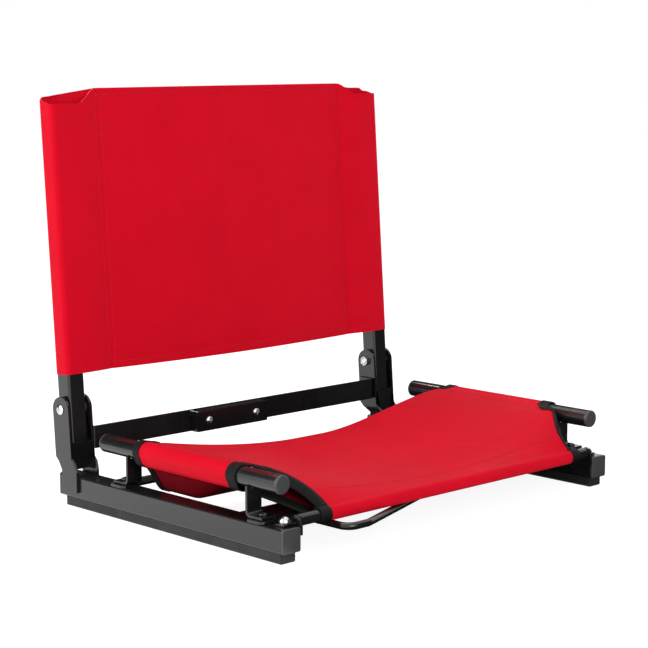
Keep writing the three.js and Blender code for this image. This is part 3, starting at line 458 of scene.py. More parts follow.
def rounded_copy(node, name, edge):
    """A node's solid with its facets merged into whole faces and its edges rounded."""
    piece = bpy.data.objects.new(name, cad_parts[node].data.copy())
    piece.data.name = name
    bpy.context.scene.collection.objects.link(piece)
    select_only(piece)
    bpy.ops.mesh.customdata_custom_splitnormals_clear()
    enter_edit(piece, "SELECT")
    bpy.ops.mesh.remove_doubles(threshold=0.00002)
    bpy.ops.mesh.dissolve_limited(angle_limit=math.radians(1))
    leave_edit()
    bevel = {"segments": 2, "limit_method": "ANGLE", "angle_limit": math.radians(30)}
    apply_modifier(piece, "BEVEL", width=edge, **bevel)
    smooth(piece, 40)
    flatten_faces(piece)
    return piece


for side in ("left", "right"):
    strip = rounded_copy(f"{side}_foot_strip", f"{side}_strip_extrusion", STRIP_EDGE)
    dress(strip, f"{side}_foot_strip", "frame", rubber)

# Folded plates
# The brackets, straps, corner plates, cross bars, splice channel, flat bars, hook bar and
# hook clips are steel plate, cut, punched and folded, then painted with the frame.
PLATE_EDGES = {
    "bracket": 0.0005,
    "front_strap": 0.0005,
    "rear_strap": 0.0005,
    "corner_plate": 0.0005,
    "cross_bar": 0.0006,
    "splice_channel": 0.0006,
    "front_flat_bar": 0.0006,
    "rear_flat_bar": 0.0006,
    "hook_bar": 0.0005,
    "hook_clip": 0.0002,
}

for kind, edge in PLATE_EDGES.items():
    pair = [f"left_{kind}", f"right_{kind}"]
    for node in [kind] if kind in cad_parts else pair:
        plate = rounded_copy(node, f"{node}_plate", edge)
        dress(plate, node, "frame", black_paint)

# Seat tubes
# Round steel tube that lies on the front and rear straps, powder-coated with the frame.
# A black moulded cap closes each end.
ROUND_SIDES = 72
TUBE_WALL = 0.0015
CAP_EDGE = 0.0016
CAP_FLANGE = 0.003
CAP_PLAY = 0.0003


def round_tube(name, low, high, axis, wall, sides):
    """An open round tube that fills the box between two corners, along X or Y."""
    size = high - low
    bpy.ops.mesh.primitive_cylinder_add(
        vertices=sides,
        radius=size[(axis + 2) % 3] / 2,
        depth=size[axis],
        end_fill_type="NOTHING",
        location=(low + high) / 2,
        rotation=(math.pi / 2, 0, 0) if axis == 1 else (0, math.pi / 2, 0),
    )
    return finish_tube(place_in_mesh(bpy.context.object, name), wall)


def round_cap(name, low, high, face_sign):
    """A cap along Y: its flange fills the box's width, and its stem goes into the tube."""
    middle = (low + high) / 2
    face = high.y if face_sign > 0 else low.y
    bpy.ops.mesh.primitive_cylinder_add(
        vertices=ROUND_SIDES,
        radius=(high.x - low.x) / 2,
        depth=CAP_FLANGE,
        location=(middle.x, face - face_sign * CAP_FLANGE / 2, middle.z),
        rotation=(math.pi / 2, 0, 0),
    )
    cap = place_in_mesh(bpy.context.object, name)
    mark(cap, "FACE", lambda part: part.normal.y * face_sign > 0.5)
    bpy.ops.mesh.bevel(offset=CAP_EDGE, segments=5, affect="EDGES")
    leave_edit()
    mark(cap, "FACE", lambda part: part.normal.y * face_sign < -0.9)
    bpy.ops.mesh.inset(thickness=TUBE_WALL + CAP_PLAY, depth=0)
    reach = (0, -face_sign * (high.y - low.y - CAP_FLANGE), 0)
    bpy.ops.mesh.extrude_region_move(TRANSFORM_OT_translate={"value": reach})
    leave_edit()
    smooth(cap, 30)
    return cap


for side in ("left", "right"):
    low, high = (Vector(corner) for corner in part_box(f"{side}_seat_tube"))
    tube = round_tube(f"{side}_seat_tube_steel", low, high, 1, TUBE_WALL, ROUND_SIDES)
    dress(tube, f"{side}_seat_tube", "frame", black_paint)
    for end, sign in (("front", -1), ("rear", 1)):
        node = f"{side}_tube_{end}_cap"
        low, high = (Vector(corner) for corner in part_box(node))
        cap = round_cap(f"{node}_moulding", low, high, sign)
        dress(cap, node, "frame", black_plastic)

# Front cross tube
# A thinner round steel tube across the front, between the corner plates, painted with the
# frame. The sling's front sleeve goes round it.
FRONT_TUBE_WALL = 0.0012
FRONT_TUBE_SIDES = 48

low, high = (Vector(corner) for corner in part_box("front_cross_tube"))
front_shape = (low, high, 0, FRONT_TUBE_WALL, FRONT_TUBE_SIDES)
front_tube = round_tube("front_cross_tube_steel", *front_shape)
dress(front_tube, "front_cross_tube", "frame", black_paint)

# Fasteners
# Dome-headed bolts at the corner plates, button heads at the pivots and cross-recessed
# pan heads on the splice, all zinc-plated. The straps' bolts are painted with the frame.
HEAD_STEPS = 10
BOLT_SIDES = 36
NUT_EDGE = 0.0005
WASHER_EDGE = 0.0002
RECESS_DEPTH = 0.003
PIVOT_RECESS = 0.0052
SPLICE_RECESS = 0.005

# Across the head, the head's rise, and across the shank.
STRAP_BOLT = (0.010, 0.003, 0.006)
DOME_BOLT = (0.0115, 0.0065, 0.006)
PIVOT_BOLT = (0.0115, 0.0024, 0.008)
SPLICE_SCREW = (0.0095, 0.0026, 0.005)

zinc = hard_finish(
    "bright_zinc_plate", (0.72, 0.73, 0.75, 1), (0.8, 0.8, 0.82, 1), wear=0.3,
    rough=(0.14, 0.3), cloud=300, grain=2500, bump=0.15, Metallic=1.0,
)


def mesh_piece(name, spots, edges, faces):
    """A new piece from its points, edges and faces."""
    mesh = bpy.data.meshes.new(name)
    mesh.from_pydata([tuple(spot) for spot in spots], edges, faces)
    piece = bpy.data.objects.new(name, mesh)
    bpy.context.scene.collection.objects.link(piece)
    return piece


def weld(piece, gap=None):
    """Merges points closer than a gap, if one is given, and turns all faces outwards."""
    enter_edit(piece, "SELECT")
    if gap:
        bpy.ops.mesh.remove_doubles(threshold=gap)
    bpy.ops.mesh.normals_make_consistent(inside=False)
    leave_edit()


def bolt_profile(head, rise, shank, length):
    """Half section of a bolt along +Z: the shank's tip first, the head's crown last."""
    points = [(0, -length), (shank * 0.4, -length), (shank / 2, -length + shank * 0.1)]
    points += [(shank / 2, 0), (head / 2 * 0.96, 0)]
    for step in range(HEAD_STEPS + 1):
        turn = math.pi / 2 * step / HEAD_STEPS
        points.append((head / 2 * math.cos(turn), rise * (0.12 + 0.88 * math.sin(turn))))
    return points


def turned(name, points, seat, direction):
    """Spins a half section round the Z axis, then sets it on its seat."""
    lines = [(i, i + 1) for i in range(len(points) - 1)]
    piece = mesh_piece(name, [(r, 0, z) for r, z in points], lines, [])
    enter_edit(piece, "SELECT")
    bpy.ops.mesh.spin(steps=BOLT_SIDES, angle=2 * math.pi, center=(0, 0, 0), axis=(0, 0, 1))
    leave_edit()
    weld(piece, 0.000005)
    turn = direction.to_track_quat("Z", "Y")
    piece.data.transform(Matrix.Translation(seat) @ turn.to_matrix().to_4x4())
    smooth(piece, 40)
    return piece


def cut_recess(piece, seat, direction, width):
    """Cuts a driver recess of two crossed slots into a head."""
    turn = direction.to_track_quat("Z", "Y").to_matrix().to_4x4()
    for arm in range(2):
        spin = Matrix.Rotation(math.pi * arm / 2, 4, "Z")
        bpy.ops.mesh.primitive_cube_add(size=1)
        slot_tool = bpy.context.object
        scale = Matrix.Diagonal((width, width * 0.22, RECESS_DEPTH, 1))
        slot_tool.data.transform(Matrix.Translation(seat) @ turn @ spin @ scale)
        apply_modifier(piece, "BOOLEAN", object=slot_tool, operation="DIFFERENCE")
        bpy.data.objects.remove(slot_tool)
    smooth(piece, 40)


def bolt(node, name, axis, sign, sizes, finish, recess=None):
    """A bolt in its node's place, with its head at the end that sign names."""
    head, rise, shank = sizes
    low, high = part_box(node)
    seat = Vector([(a + b) / 2 for a, b in zip(low, high)])
    tip = high[axis] if sign > 0 else low[axis]
    seat[axis] = tip - sign * rise
    direction = Vector((0, 0, 0))
    direction[axis] = sign
    profile = bolt_profile(head, rise, shank, high[axis] - low[axis] - rise)
    piece = turned(name, profile, seat, direction)
    if recess:
        seat[axis] = tip
        cut_recess(piece, seat, direction, recess)
    dress(piece, node, "frame", finish)


for side in ("left", "right"):
    for kind in ("front_strap_bolt", "rear_strap_bolt"):
        node = f"{side}_{kind}"
        bolt(node, f"{node}_steel", 2, 1, STRAP_BOLT, black_paint)
    node = f"{side}_dome_bolt"
    bolt(node, f"{node}_steel", 2, 1, DOME_BOLT, zinc)

for side, sign in (("left", -1), ("right", 1)):
    node = f"{side}_pivot_bolt"
    bolt(node, f"{node}_zinc", 0, sign, PIVOT_BOLT, zinc, PIVOT_RECESS)
    node = f"{side}_splice_screw"
    bolt(node, f"{node}_zinc", 1, -1, SPLICE_SCREW, zinc, SPLICE_RECESS)
    nut = rounded_copy(f"{side}_pivot_nut", f"{side}_pivot_nut_zinc", NUT_EDGE)
    dress(nut, f"{side}_pivot_nut", "frame", zinc)
    for place in ("outer", "inner"):
        node = f"{side}_{place}_washer"
        washer = rounded_copy(node, f"{node}_moulding", WASHER_EDGE)
        dress(washer, node, "frame", black_plastic)

# Bench hook
# One length of round steel wire, bent four times and painted. It turns in the two clips
# under the hook bar, and holds the seat by the edge of a bench.
HOOK_TURN_STEPS = 8
HOOK_SIDES = 24
HOOK_BEND = 0.012
HOOK_PIVOT_Y = -0.115204
HOOK_FRONT_Y = -0.205204
HOOK_LEFT = -0.179
HOOK_NOSE = -0.150
HOOK_RIGHT = 0.097
HOOK_END = 0.030

low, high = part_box("bench_hook")
hook_radius = (high.z - low.z) / 2
hook_z = (high.z + low.z) / 2


def hook_route():
    """The wire's middle line: straight runs with a round bend at each corner."""
    corners = [
        (HOOK_LEFT + HOOK_END, HOOK_PIVOT_Y),
        (HOOK_LEFT, HOOK_PIVOT_Y),
        (HOOK_LEFT, HOOK_FRONT_Y),
        (HOOK_NOSE, HOOK_FRONT_Y),
        (HOOK_RIGHT, HOOK_PIVOT_Y),
        (HOOK_RIGHT + HOOK_END, HOOK_PIVOT_Y),
    ]
    corners = [Vector((x, y, hook_z)) for x, y in corners]
    route = [corners[0]]
    for before, corner, after in zip(corners, corners[1:], corners[2:]):
        inward = (before - corner).normalized()
        outward = (after - corner).normalized()
        half = inward.angle(outward) / 2
        back = HOOK_BEND / math.tan(half)
        centre = corner + (inward + outward).normalized() * HOOK_BEND / math.sin(half)
        enter = corner + inward * back - centre
        leave = corner + outward * back - centre
        for step in range(HOOK_TURN_STEPS + 1):
            arm = enter.lerp(leave, step / HOOK_TURN_STEPS)
            route.append(centre + arm.normalized() * HOOK_BEND)
    return route + [corners[-1]]


def round_wire(name, route, radius, sides):
    """A round wire along a route: a curve with a round bevel, turned into a mesh."""
    curve = bpy.data.curves.new(name, "CURVE")
    curve.dimensions = "3D"
    curve.bevel_depth = radius
    curve.bevel_resolution = sides // 4 - 1
    curve.use_fill_caps = True
    line = curve.splines.new("POLY")
    line.points.add(len(route) - 1)
    for point, place in zip(line.points, route):
        point.co = (*place, 1)
    wire = bpy.data.objects.new(name, curve)
    bpy.context.scene.collection.objects.link(wire)
    select_only(wire)
    bpy.ops.object.convert(target="MESH")
    wire = bpy.context.object
    weld(wire, 0.000005)
    smooth(wire, 40)
    return wire


hook = round_wire("bench_hook_wire", hook_route(), hook_radius, HOOK_SIDES)
dress(hook, "bench_hook", "hook", black_paint)

# Uprights
# Square steel tube of the back, painted with the frame, that turns between the cheeks of
# the brackets. A moulded plug closes the top, inside the cloth.
RECLINE = math.radians(4.14)
UPRIGHT_SIZE = 0.022
UPRIGHT_BELOW = 0.041
UPRIGHT_ABOVE = 0.330
UPRIGHT_WALL = 0.0015
UPRIGHT_CORNER = 0.0028
UPRIGHT_PLUG_STEM = 0.008
FIT = 0.0003

bolt_low, bolt_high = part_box("right_pivot_bolt")
pivot = Vector((0, (bolt_low.y + bolt_high.y) / 2, (bolt_low.z + bolt_high.z) / 2))
lean = Matrix.Translation(pivot) @ Matrix.Rotation(-RECLINE, 4, "X")
half = UPRIGHT_SIZE / 2

for side in ("left", "right"):
    low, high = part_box(f"{side}_upright")
    middle = (low.x + high.x) / 2
    foot = Vector((middle - half, -half, -UPRIGHT_BELOW))
    head = Vector((middle + half, half, UPRIGHT_ABOVE))
    tube_shape = (2, UPRIGHT_WALL, UPRIGHT_CORNER)
    upright = square_tube(f"{side}_upright_tube", foot, head, *tube_shape)
    upright.data.transform(lean)
    dress(upright, f"{side}_upright", "backrest", black_paint)
    foot.z = UPRIGHT_ABOVE - UPRIGHT_PLUG_STEM
    head.z = UPRIGHT_ABOVE + PLUG_FLANGE + FIT
    plug_shape = (2, 1, UPRIGHT_WALL, UPRIGHT_CORNER)
    plug = square_plug(f"{side}_upright_plug_moulding", foot, head, *plug_shape)
    plug.data.transform(lean)
    dress(plug, f"{side}_upright_top_plug", "backrest", black_plastic)

# Cloth
# Heavy plain-woven polyester, red; the sling and the back are cut from the same roll.
# Black woven tape binds the sling's raw edges, and red thread sews it all.
CLOTH = 0.0013
THREAD_PITCH = 0.0009
TAPE_PITCH = 0.0012
SPUN_PITCH = 0.0002
STITCH = 0.0032
STITCH_GAP = 0.0007
STITCH_RADIUS = 0.00028
STITCH_SIDES = 5
WEAVE_RELIEF = 0.0003

# The rings of a stitch: the share of its length, and lift and girth in thread radii.
STITCH_RINGS = ((0, -0.6, 0.55), (0.25, 0.6, 1), (0.75, 0.6, 1), (1, -0.6, 0.55))


def make_plain_weave():
    """Threads over and under each other on a UV map in metres."""
    made = {"Height": "Float", "Thread": "Float"}
    tree, given, put = new_group("plain_weave", {"Vector": "Vector", "Pitch": "Float"}, made)
    axes = add_node(tree, "ShaderNodeSeparateXYZ", {"Vector": given["Vector"]}).outputs
    across, along = (calc(tree, "DIVIDE", axes[axis], given["Pitch"]) for axis in "XY")
    tiles = calc(tree, "ADD", calc(tree, "FLOOR", across), calc(tree, "FLOOR", along))
    over = calc(tree, "FLOORED_MODULO", tiles, 2.0)
    humps = []
    for way, lies_over in ((across, over), (along, calc(tree, "SUBTRACT", 1.0, over))):
        wave = calc(tree, "SINE", calc(tree, "MULTIPLY", way, math.pi))
        humps.append(calc(tree, "MULTIPLY", calc(tree, "ABSOLUTE", wave), lies_over))
    join_value(tree, calc(tree, "ADD", *humps), put["Height"])
    join_value(tree, over, put["Thread"])
    return tree


plain_weave = make_plain_weave()


def woven_finish(name, deep, bright, pitch, bump, rough, **values):
    """Cloth with a thread pattern, cloudy dye and a little slub, on the piece's UV map."""
    made, tree, shader = new_material(name)
    place = add_node(tree, "ShaderNodeTexCoord").outputs
    spot = place["Object"]
    given = {"Vector": place["UV"], "Pitch": pitch}
    weave = add_node(tree, "ShaderNodeGroup", given, node_tree=plain_weave)
    dye = calc(tree, "MULTIPLY", weave.outputs["Thread"], 0.14)
    for scale, detail, share in ((16, 6, 0.62), (420, 2, 0.26)):
        cloud = calc(tree, "MULTIPLY", noise(tree, spot, scale, detail), share)
        dye = calc(tree, "ADD", dye, cloud)
    dents = calc(tree, "MULTIPLY", noise(tree, spot, 38, 3), 6.0)
    height = calc(tree, "ADD", weave.outputs["Height"], dents)
    given = {"Strength": bump, "Distance": WEAVE_RELIEF, "Height": height}
    relief = add_node(tree, "ShaderNodeBump", given)
    join_value(tree, mix_color(tree, dye, deep, bright), shader.inputs["Base Color"])
    join_value(tree, relief.outputs["Normal"], shader.inputs["Normal"])
    set_values(shader, {"Roughness": rough, **values})
    return made


red_cloth = woven_finish(
    "red_woven_polyester", (0.56, 0.0, 0.012, 1), (0.76, 0.001, 0.018, 1), THREAD_PITCH,
    bump=0.4, rough=0.44, Specular_IOR_Level=0.05,
    Sheen_Weight=0.03, Sheen_Roughness=0.5, Sheen_Tint=(1.0, 0.6, 0.7, 1),
)
# A darker copy of the red cloth, for the sling's underside and its under layer: painted shade,
# where the seat's shadow falls.
painted_shade_red_cloth = woven_finish(
    "red_cloth_painted_shade", (0.15, 0.0, 0.005, 1), (0.24, 0.001, 0.008, 1), THREAD_PITCH,
    bump=0.3, rough=0.6, Specular_IOR_Level=0.1,
)
black_tape = woven_finish(
    "black_woven_tape", (0.002, 0.0025, 0.0024, 1), (0.008, 0.0095, 0.009, 1), TAPE_PITCH,
    bump=0.8, rough=0.5, Specular_IOR_Level=0.15,
)
red_thread = woven_finish(
    "red_polyester_thread", (0.36, 0.003, 0.012, 1), (0.62, 0.008, 0.025, 1), SPUN_PITCH,
    bump=0.2, rough=0.4, Specular_IOR_Level=0.4,
)
black_thread = woven_finish(
    "black_polyester_thread", (0.008, 0.008, 0.008, 1), (0.03, 0.03, 0.03, 1), SPUN_PITCH,
    bump=0.2, rough=0.4, Specular_IOR_Level=0.5,
)


def clamp(share):
    return min(max(share, 0), 1)


def ease(share):
    """A smooth step from 0 to 1."""
    share = clamp(share)
    return share * share * (3 - 2 * share)


def bell(value, width):
    """1 at zero, and almost nothing beyond two widths."""
    return math.exp(-(value / width) ** 2)


def evenly(first, last, count):
    return [first + (last - first) * step / count for step in range(count + 1)]


def measured_rows(points):
    """Each point's way along its row and along the rows, in metres."""
    measures = []
    along = 0.0
    for r, row in enumerate(points):
        if r:
            middle = len(row) // 2
            along += (row[middle] - points[r - 1][middle]).length
        run = 0.0
        for c, point in enumerate(row):
            run += (point - row[c - 1]).length if c else 0
            measures.append((run, along))
    return measures


def cloth_mesh(name, points, closed=False):
    """A sheet through rows of points, with a UV map in metres."""
    rows, columns = len(points), len(points[0])
    faces = []
    for r in range(rows - 1):
        for c in range(columns if closed else columns - 1):
            here, beside = r * columns + c, r * columns + (c + 1) % columns
            faces.append((here, beside, beside + columns, here + columns))
    piece = mesh_piece(name, [p for row in points for p in row], [], faces)
    layer = piece.data.uv_layers.new(name="cloth")
    measures = measured_rows(points)
    for loop in piece.data.loops:
        layer.data[loop.index].uv = measures[loop.vertex_index]
    return piece


def stitch_row(name, route, outward, finish, body):
    """Top stitches: one short bent thread for each stitch along a route on the cloth."""
    spots, faces = [], []
    travelled = [0.0]
    for before, after in zip(route, route[1:]):
        travelled.append(travelled[-1] + (after - before).length)

    def spot_at(distance):
        index = int(np.searchsorted(travelled, distance, side="right")) - 1
        index = min(max(index, 0), len(route) - 2)
        span = travelled[index + 1] - travelled[index]
        share = (distance - travelled[index]) / span if span else 0
        place = route[index].lerp(route[index + 1], share)
        return place, outward[index].lerp(outward[index + 1], share).normalized()

    length = STITCH - STITCH_GAP
    for stitch in range(int(travelled[-1] / STITCH)):
        start = stitch * STITCH + STITCH_GAP / 2
        ahead = spot_at(start + length)[0] - spot_at(start)[0]
        first = len(spots)
        for share, lift, girth in STITCH_RINGS:
            place, up = spot_at(start + length * share)
            side = ahead.cross(up).normalized()
            thin = STITCH_RADIUS * girth
            centre = place + up * STITCH_RADIUS * lift
            for turn in range(STITCH_SIDES):
                angle = 2 * math.pi * turn / STITCH_SIDES
                arm = side * thin * math.cos(angle) + up * thin * math.sin(angle)
                spots.append(centre + arm)
        last = len(spots) - STITCH_SIDES
        for ring in range(first, last, STITCH_SIDES):
            for turn in range(STITCH_SIDES):
                a, b = ring + turn, ring + (turn + 1) % STITCH_SIDES
                faces.append((a, b, b + STITCH_SIDES, a + STITCH_SIDES))
        faces.append(tuple(first + turn for turn in reversed(range(STITCH_SIDES))))
        faces.append(tuple(last + turn for turn in range(STITCH_SIDES)))
    piece = mesh_piece(name, spots, [], faces)
    weld(piece)
    smooth(piece, 60)
    dress(piece, None, body, finish)


# Sling
# Red cloth in two layers, cut away in a curve at the front corners. The upper one is sewn
# round the seat tubes as sleeves and turns round the front cross tube into the lower one,
# which hangs loose from the sleeves.
SLEEVE_FRONT = -0.1196
SLEEVE_REAR = 0.0440
SEAM_X = 0.227
SEAM_Z = 0.0835
SLEEVE_TOP_X = 0.2415
SLACK = 0.0048
SLACK_IN = 0.0025
SLACK_FROM = math.radians(-12)
SLACK_TO = math.radians(-144)
SLEEVE_BELLY = 0.0012
SEAM_LAP = 0.0016
FRONT_SHIFT = 0.0063
FRONT_HALF = 0.2065
REAR_MIDDLE = 0.0600
TROUGH_LEFT = -0.020
TROUGH_RIGHT = 0.022
SAG_POWER = 1.7
PUCKER = 0.0007
PUCKER_PITCH = 0.021
PUCKER_IN = 0.004
PUCKER_WIDTH = 0.006
PULL = 0.0009
PULL_MIDDLE = 0.055
PULL_REACH = 0.035
CREASES_FROM = 0.012
CREASES_RUN = 0.03
PULLS = ((0.150, 0.75, 0.006), (0.120, 0.62, 0.0075), (0.175, 0.95, 0.005))
SLING_COLUMNS = 110
CORNER_ROWS = 30
SLEEVE_ROWS = 44
TURN_ROWS = 12
UNDER_ROWS = 60
MIDDLE_REACH = 0.02
FLAP = 0.0110
FLAP_STEPS = 6
FLAP_SLOPE = math.radians(68)
FLAP_ROLL = 0.0035
ROW_POINTS = SLING_COLUMNS + 1 + 2 * FLAP_STEPS

tube_low, tube_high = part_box("right_seat_tube")
tube_x = (tube_low.x + tube_high.x) / 2
tube_z = (tube_low.z + tube_high.z) / 2
tube_r = (tube_high.z - tube_low.z) / 2 + FIT + CLOTH / 2
cross_low, cross_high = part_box("front_cross_tube")
cross_y = (cross_low.y + cross_high.y) / 2
cross_z = (cross_low.z + cross_high.z) / 2
cross_r = (cross_high.z - cross_low.z) / 2 + FIT + CLOTH / 2
front_top = cross_z + cross_r
sleeve_turn = math.acos((SLEEVE_TOP_X - tube_x) / tube_r)
sleeve_top = tube_z + tube_r * math.sin(sleeve_turn)

# The cut corner, from the front tube back to the sleeve: the way back behind the tube's
# axis, the edge of the red cloth left and right, and its height over the front sleeve.
CUT_EDGE = np.array([
    (0.0000, 0.1884, 0.2011, 0.0000),
    (0.0080, 0.1900, 0.2025, 0.0076),
    (0.0140, 0.1924, 0.2047, 0.0125),
    (0.0200, 0.1950, 0.2069, 0.0172),
    (0.0260, 0.1987, 0.2101, 0.0220),
    (0.0320, 0.2035, 0.2157, 0.0265),
    (0.0380, 0.2090, 0.2214, 0.0310),
    (0.0440, 0.2150, 0.2273, 0.0346),
    (0.0500, 0.2215, 0.2322, 0.0380),
    (0.0560, 0.2280, 0.2362, 0.0400),
    (0.0620, 0.2340, 0.2390, 0.0415),
    (0.0760, 0.2415, 0.2415, 0.0426),
])
CUT_SMOOTHING = 0.003
CUT_BACK = cross_y + CUT_EDGE[:, 0]
CUT_HEIGHT = CUT_EDGE[:, 3] / CUT_EDGE[-1, 3]


def cut_value(y, values):
    """A smooth reading of one column of the cut edge."""
    near = [np.interp(y + CUT_SMOOTHING * step, CUT_BACK, values) for step in (-1, 0, 1)]
    return float(sum(near) / 3)


def half_width(y, side):
    return cut_value(y, CUT_EDGE[:, 1 if side < 0 else 2])


def edge_height(y):
    return front_top + (sleeve_top - front_top) * cut_value(y, CUT_HEIGHT)


def sag_share(x, half, back):
    """The cross section of the sling, 0 in its trough and 1 at its edges."""
    left, right = TROUGH_LEFT * back, TROUGH_RIGHT * back
    if x < left:
        return min((left - x) / (half + left), 1) ** SAG_POWER
    out = clamp((x - right) / (half - right))
    plain = out ** SAG_POWER
    return plain + (ease(out) - plain) * back


def crease(x, y):
    """Puckers along the sleeve's sewn line, and shallow pulls from the front corners."""
    out, side, along = abs(x), math.copysign(1, x), y - cross_y
    wave = math.sin(2 * math.pi * y / PUCKER_PITCH + side)
    wave += 0.6 * math.sin(y / 0.0047 + 2 * side)
    puckers = PUCKER * bell(out - SEAM_X + PUCKER_IN, PUCKER_WIDTH) * (0.9 + 0.7 * wave)
    pull = sum(bell(out - start + slant * along, width) for start, slant, width in PULLS)
    pull *= PULL * bell(along - PULL_MIDDLE, PULL_REACH)
    return -puckers - pull * (0.6 if side > 0 else 0.4)


def sling_height(x, y):
    back = clamp((y - cross_y) / (SLEEVE_REAR - cross_y))
    middle = front_top + (REAR_MIDDLE - front_top) * back
    flat = middle + (edge_height(y) - middle) * sag_share(x, half_width(y, x), back)
    return flat + crease(x, y) * ease((y - cross_y - CREASES_FROM) / CREASES_RUN)


def sling_spot(x, y):
    return Vector((x, y, sling_height(x, y)))


def sling_outward(x, y):
    step = 0.0005
    across = sling_spot(x + step, y) - sling_spot(x - step, y)
    along = sling_spot(x, y + step) - sling_spot(x, y - step)
    return across.cross(along).normalized()


def front_turn():
    """Where the cloth passes round the front tube, from its underside to its top: (Y, Z)."""
    turns = evenly(-math.pi / 2, -3 * math.pi / 2, TURN_ROWS)
    return [(cross_y + cross_r * math.cos(t), cross_z + cross_r * math.sin(t)) for t in turns]


def flap_spot(side, y, way):
    """A place on the strip that rolls down beyond the red edge, a way out from it."""
    step = 0.001
    edge = Vector((side * half_width(y, side), y, edge_height(y)))
    ahead = y + step
    near = Vector((side * half_width(ahead, side), ahead, edge_height(ahead)))
    along = (near - edge).normalized()
    flat_out = Vector((side * along.y, -side * along.x, 0)).normalized()
    fall = sling_spot(edge.x - side * step, y).z - sling_spot(edge.x, y).z
    start = math.atan2(fall, step)
    slope = start + (FLAP_SLOPE - start) * ease(way / FLAP_ROLL)
    rolled, rest = min(way, FLAP_ROLL), max(way - FLAP_ROLL, 0)
    reach = rolled * 0.55 * math.cos(start) + rest * math.cos(slope)
    drop = rolled * 0.45 * math.sin(FLAP_SLOPE) + rest * math.sin(slope)
    return edge + flat_out * reach - Vector((0, 0, drop))


def front_share(y):
    """How far back a place lies between the front tube and the sleeve's end."""
    return (y - cross_y) / (SLEEVE_FRONT - cross_y)


def flap_length(y):
    """The rolled edge runs out where the cut meets the side sleeve."""
    return FLAP * (1 - ease((front_share(y) - 0.72) / 0.28))


def sling_row(y):
    """One row of the upper layer, from the left cut edge to the right one."""
    ways = evenly(flap_length(y), 0, FLAP_STEPS)[:-1]
    line = [flap_spot(-1, y, way) for way in ways]
    inner = evenly(-half_width(y, -1), half_width(y, 1), SLING_COLUMNS)
    line += [sling_spot(x, y) for x in inner]
    return line + [flap_spot(1, y, way) for way in reversed(ways)]


# The under layer hangs from the undersides of the side sleeves and droops to the back.
LAYER_GAP = 0.0032
UNDER_HALF = 0.2435
UNDER_FRONT = {-1: 0.1945, 1: 0.2070}
UNDER_INSET = 0.004
UNDER_SHY = 0.001
CROWDING_SHARE = 0.12
DROOP = 0.031
DROOP_FROM = 0.090
DROOP_RUN = 0.085
CURTAIN = 0.028

front_low = cross_z - cross_r
sleeve_low = tube_z - SLACK - tube_r


def under_half(y, side):
    """Half width of the under layer, which is cut away at its front corners too."""
    share = clamp(front_share(y))
    front = UNDER_FRONT[side]
    return front + (UNDER_HALF - front) * share - UNDER_INSET * math.sin(math.pi * share)


def under_spot(x, y):
    """A place on the under layer: hung from its sides, and never above the upper layer."""
    side_height = front_low + (sleeve_low - front_low) * clamp(front_share(y))
    fall = DROOP * ease((y - cross_y - DROOP_FROM) / DROOP_RUN)
    hung = side_height - fall * ease((UNDER_HALF - abs(x)) / CURTAIN)
    half = half_width(y, x) - UNDER_SHY
    over = sling_height(max(min(x, half), -half), y) - LAYER_GAP
    return Vector((x, y, min(hung, over)))


def under_row(y):
    """One row of the under layer: close points in its curtains, wider ones between."""
    left, right = -under_half(y, -1), under_half(y, 1)
    row = []
    for share in evenly(0, 1, ROW_POINTS - 1):
        share -= CROWDING_SHARE * math.sin(2 * math.pi * share)
        row.append(under_spot(left + (right - left) * share, y))
    return row


def sleeve_section():
    """(X, Z) of the loose sleeve, from the tube's top round it, its slack and the seam."""
    slack_x, slack_z = tube_x - SLACK_IN, tube_z - SLACK
    points = []
    for turn in evenly(sleeve_turn, SLACK_FROM, 20)[1:]:
        points.append((tube_x + tube_r * math.cos(turn), tube_z + tube_r * math.sin(turn)))
    for turn in evenly(SLACK_FROM, SLACK_TO, 16):
        points.append((slack_x + tube_r * math.cos(turn), slack_z + tube_r * math.sin(turn)))
    last_x, last_z = points[-1]
    for share in evenly(0, 1, 6)[1:]:
        sag = SLEEVE_BELLY * math.sin(math.pi * share)
        z = last_z + (SEAM_Z - last_z) * share - sag
        points.append((last_x + (SEAM_X - last_x) * share, z))
    return points


sling_points = [under_row(y) for y in evenly(SLEEVE_REAR, cross_y, UNDER_ROWS)[:-1]]
front_row = evenly(FRONT_SHIFT - FRONT_HALF, FRONT_SHIFT + FRONT_HALF, ROW_POINTS - 1)
sling_points += [[Vector((x, y, z)) for x in front_row] for y, z in front_turn()]
first_sleeve_row = len(sling_points) + CORNER_ROWS - 1
upper_rows = evenly(cross_y, SLEEVE_FRONT, CORNER_ROWS)[1:]
upper_rows += evenly(SLEEVE_FRONT, SLEEVE_REAR, SLEEVE_ROWS)[1:]
sling_points += [sling_row(y) for y in upper_rows]

sleeve_loop = sleeve_section()
sling_parts = [cloth_mesh("sling_cloth", sling_points)]
for side in (-1, 1):
    sleeve_points = []
    for row in sling_points[first_sleeve_row:]:
        edge = row[-1 if side > 0 else 0]
        line = [Vector((abs(edge.x), edge.y, edge.z))]
        line += [Vector((x, edge.y, z)) for x, z in sleeve_loop]
        under_seam = sling_height(side * SEAM_X, edge.y) - SEAM_LAP
        line[-1].z = under_seam
        line[-2].z = line[-3].z + (under_seam - line[-3].z) / 2
        line = [Vector((side * p.x, p.y, p.z)) for p in line]
        sleeve_points.append(line if side > 0 else line[::-1])
    sling_parts.append(cloth_mesh(f"sleeve_{side}", sleeve_points))

sling = join_pieces("sling_cloth", *sling_parts)
weld(sling, 0.00005)
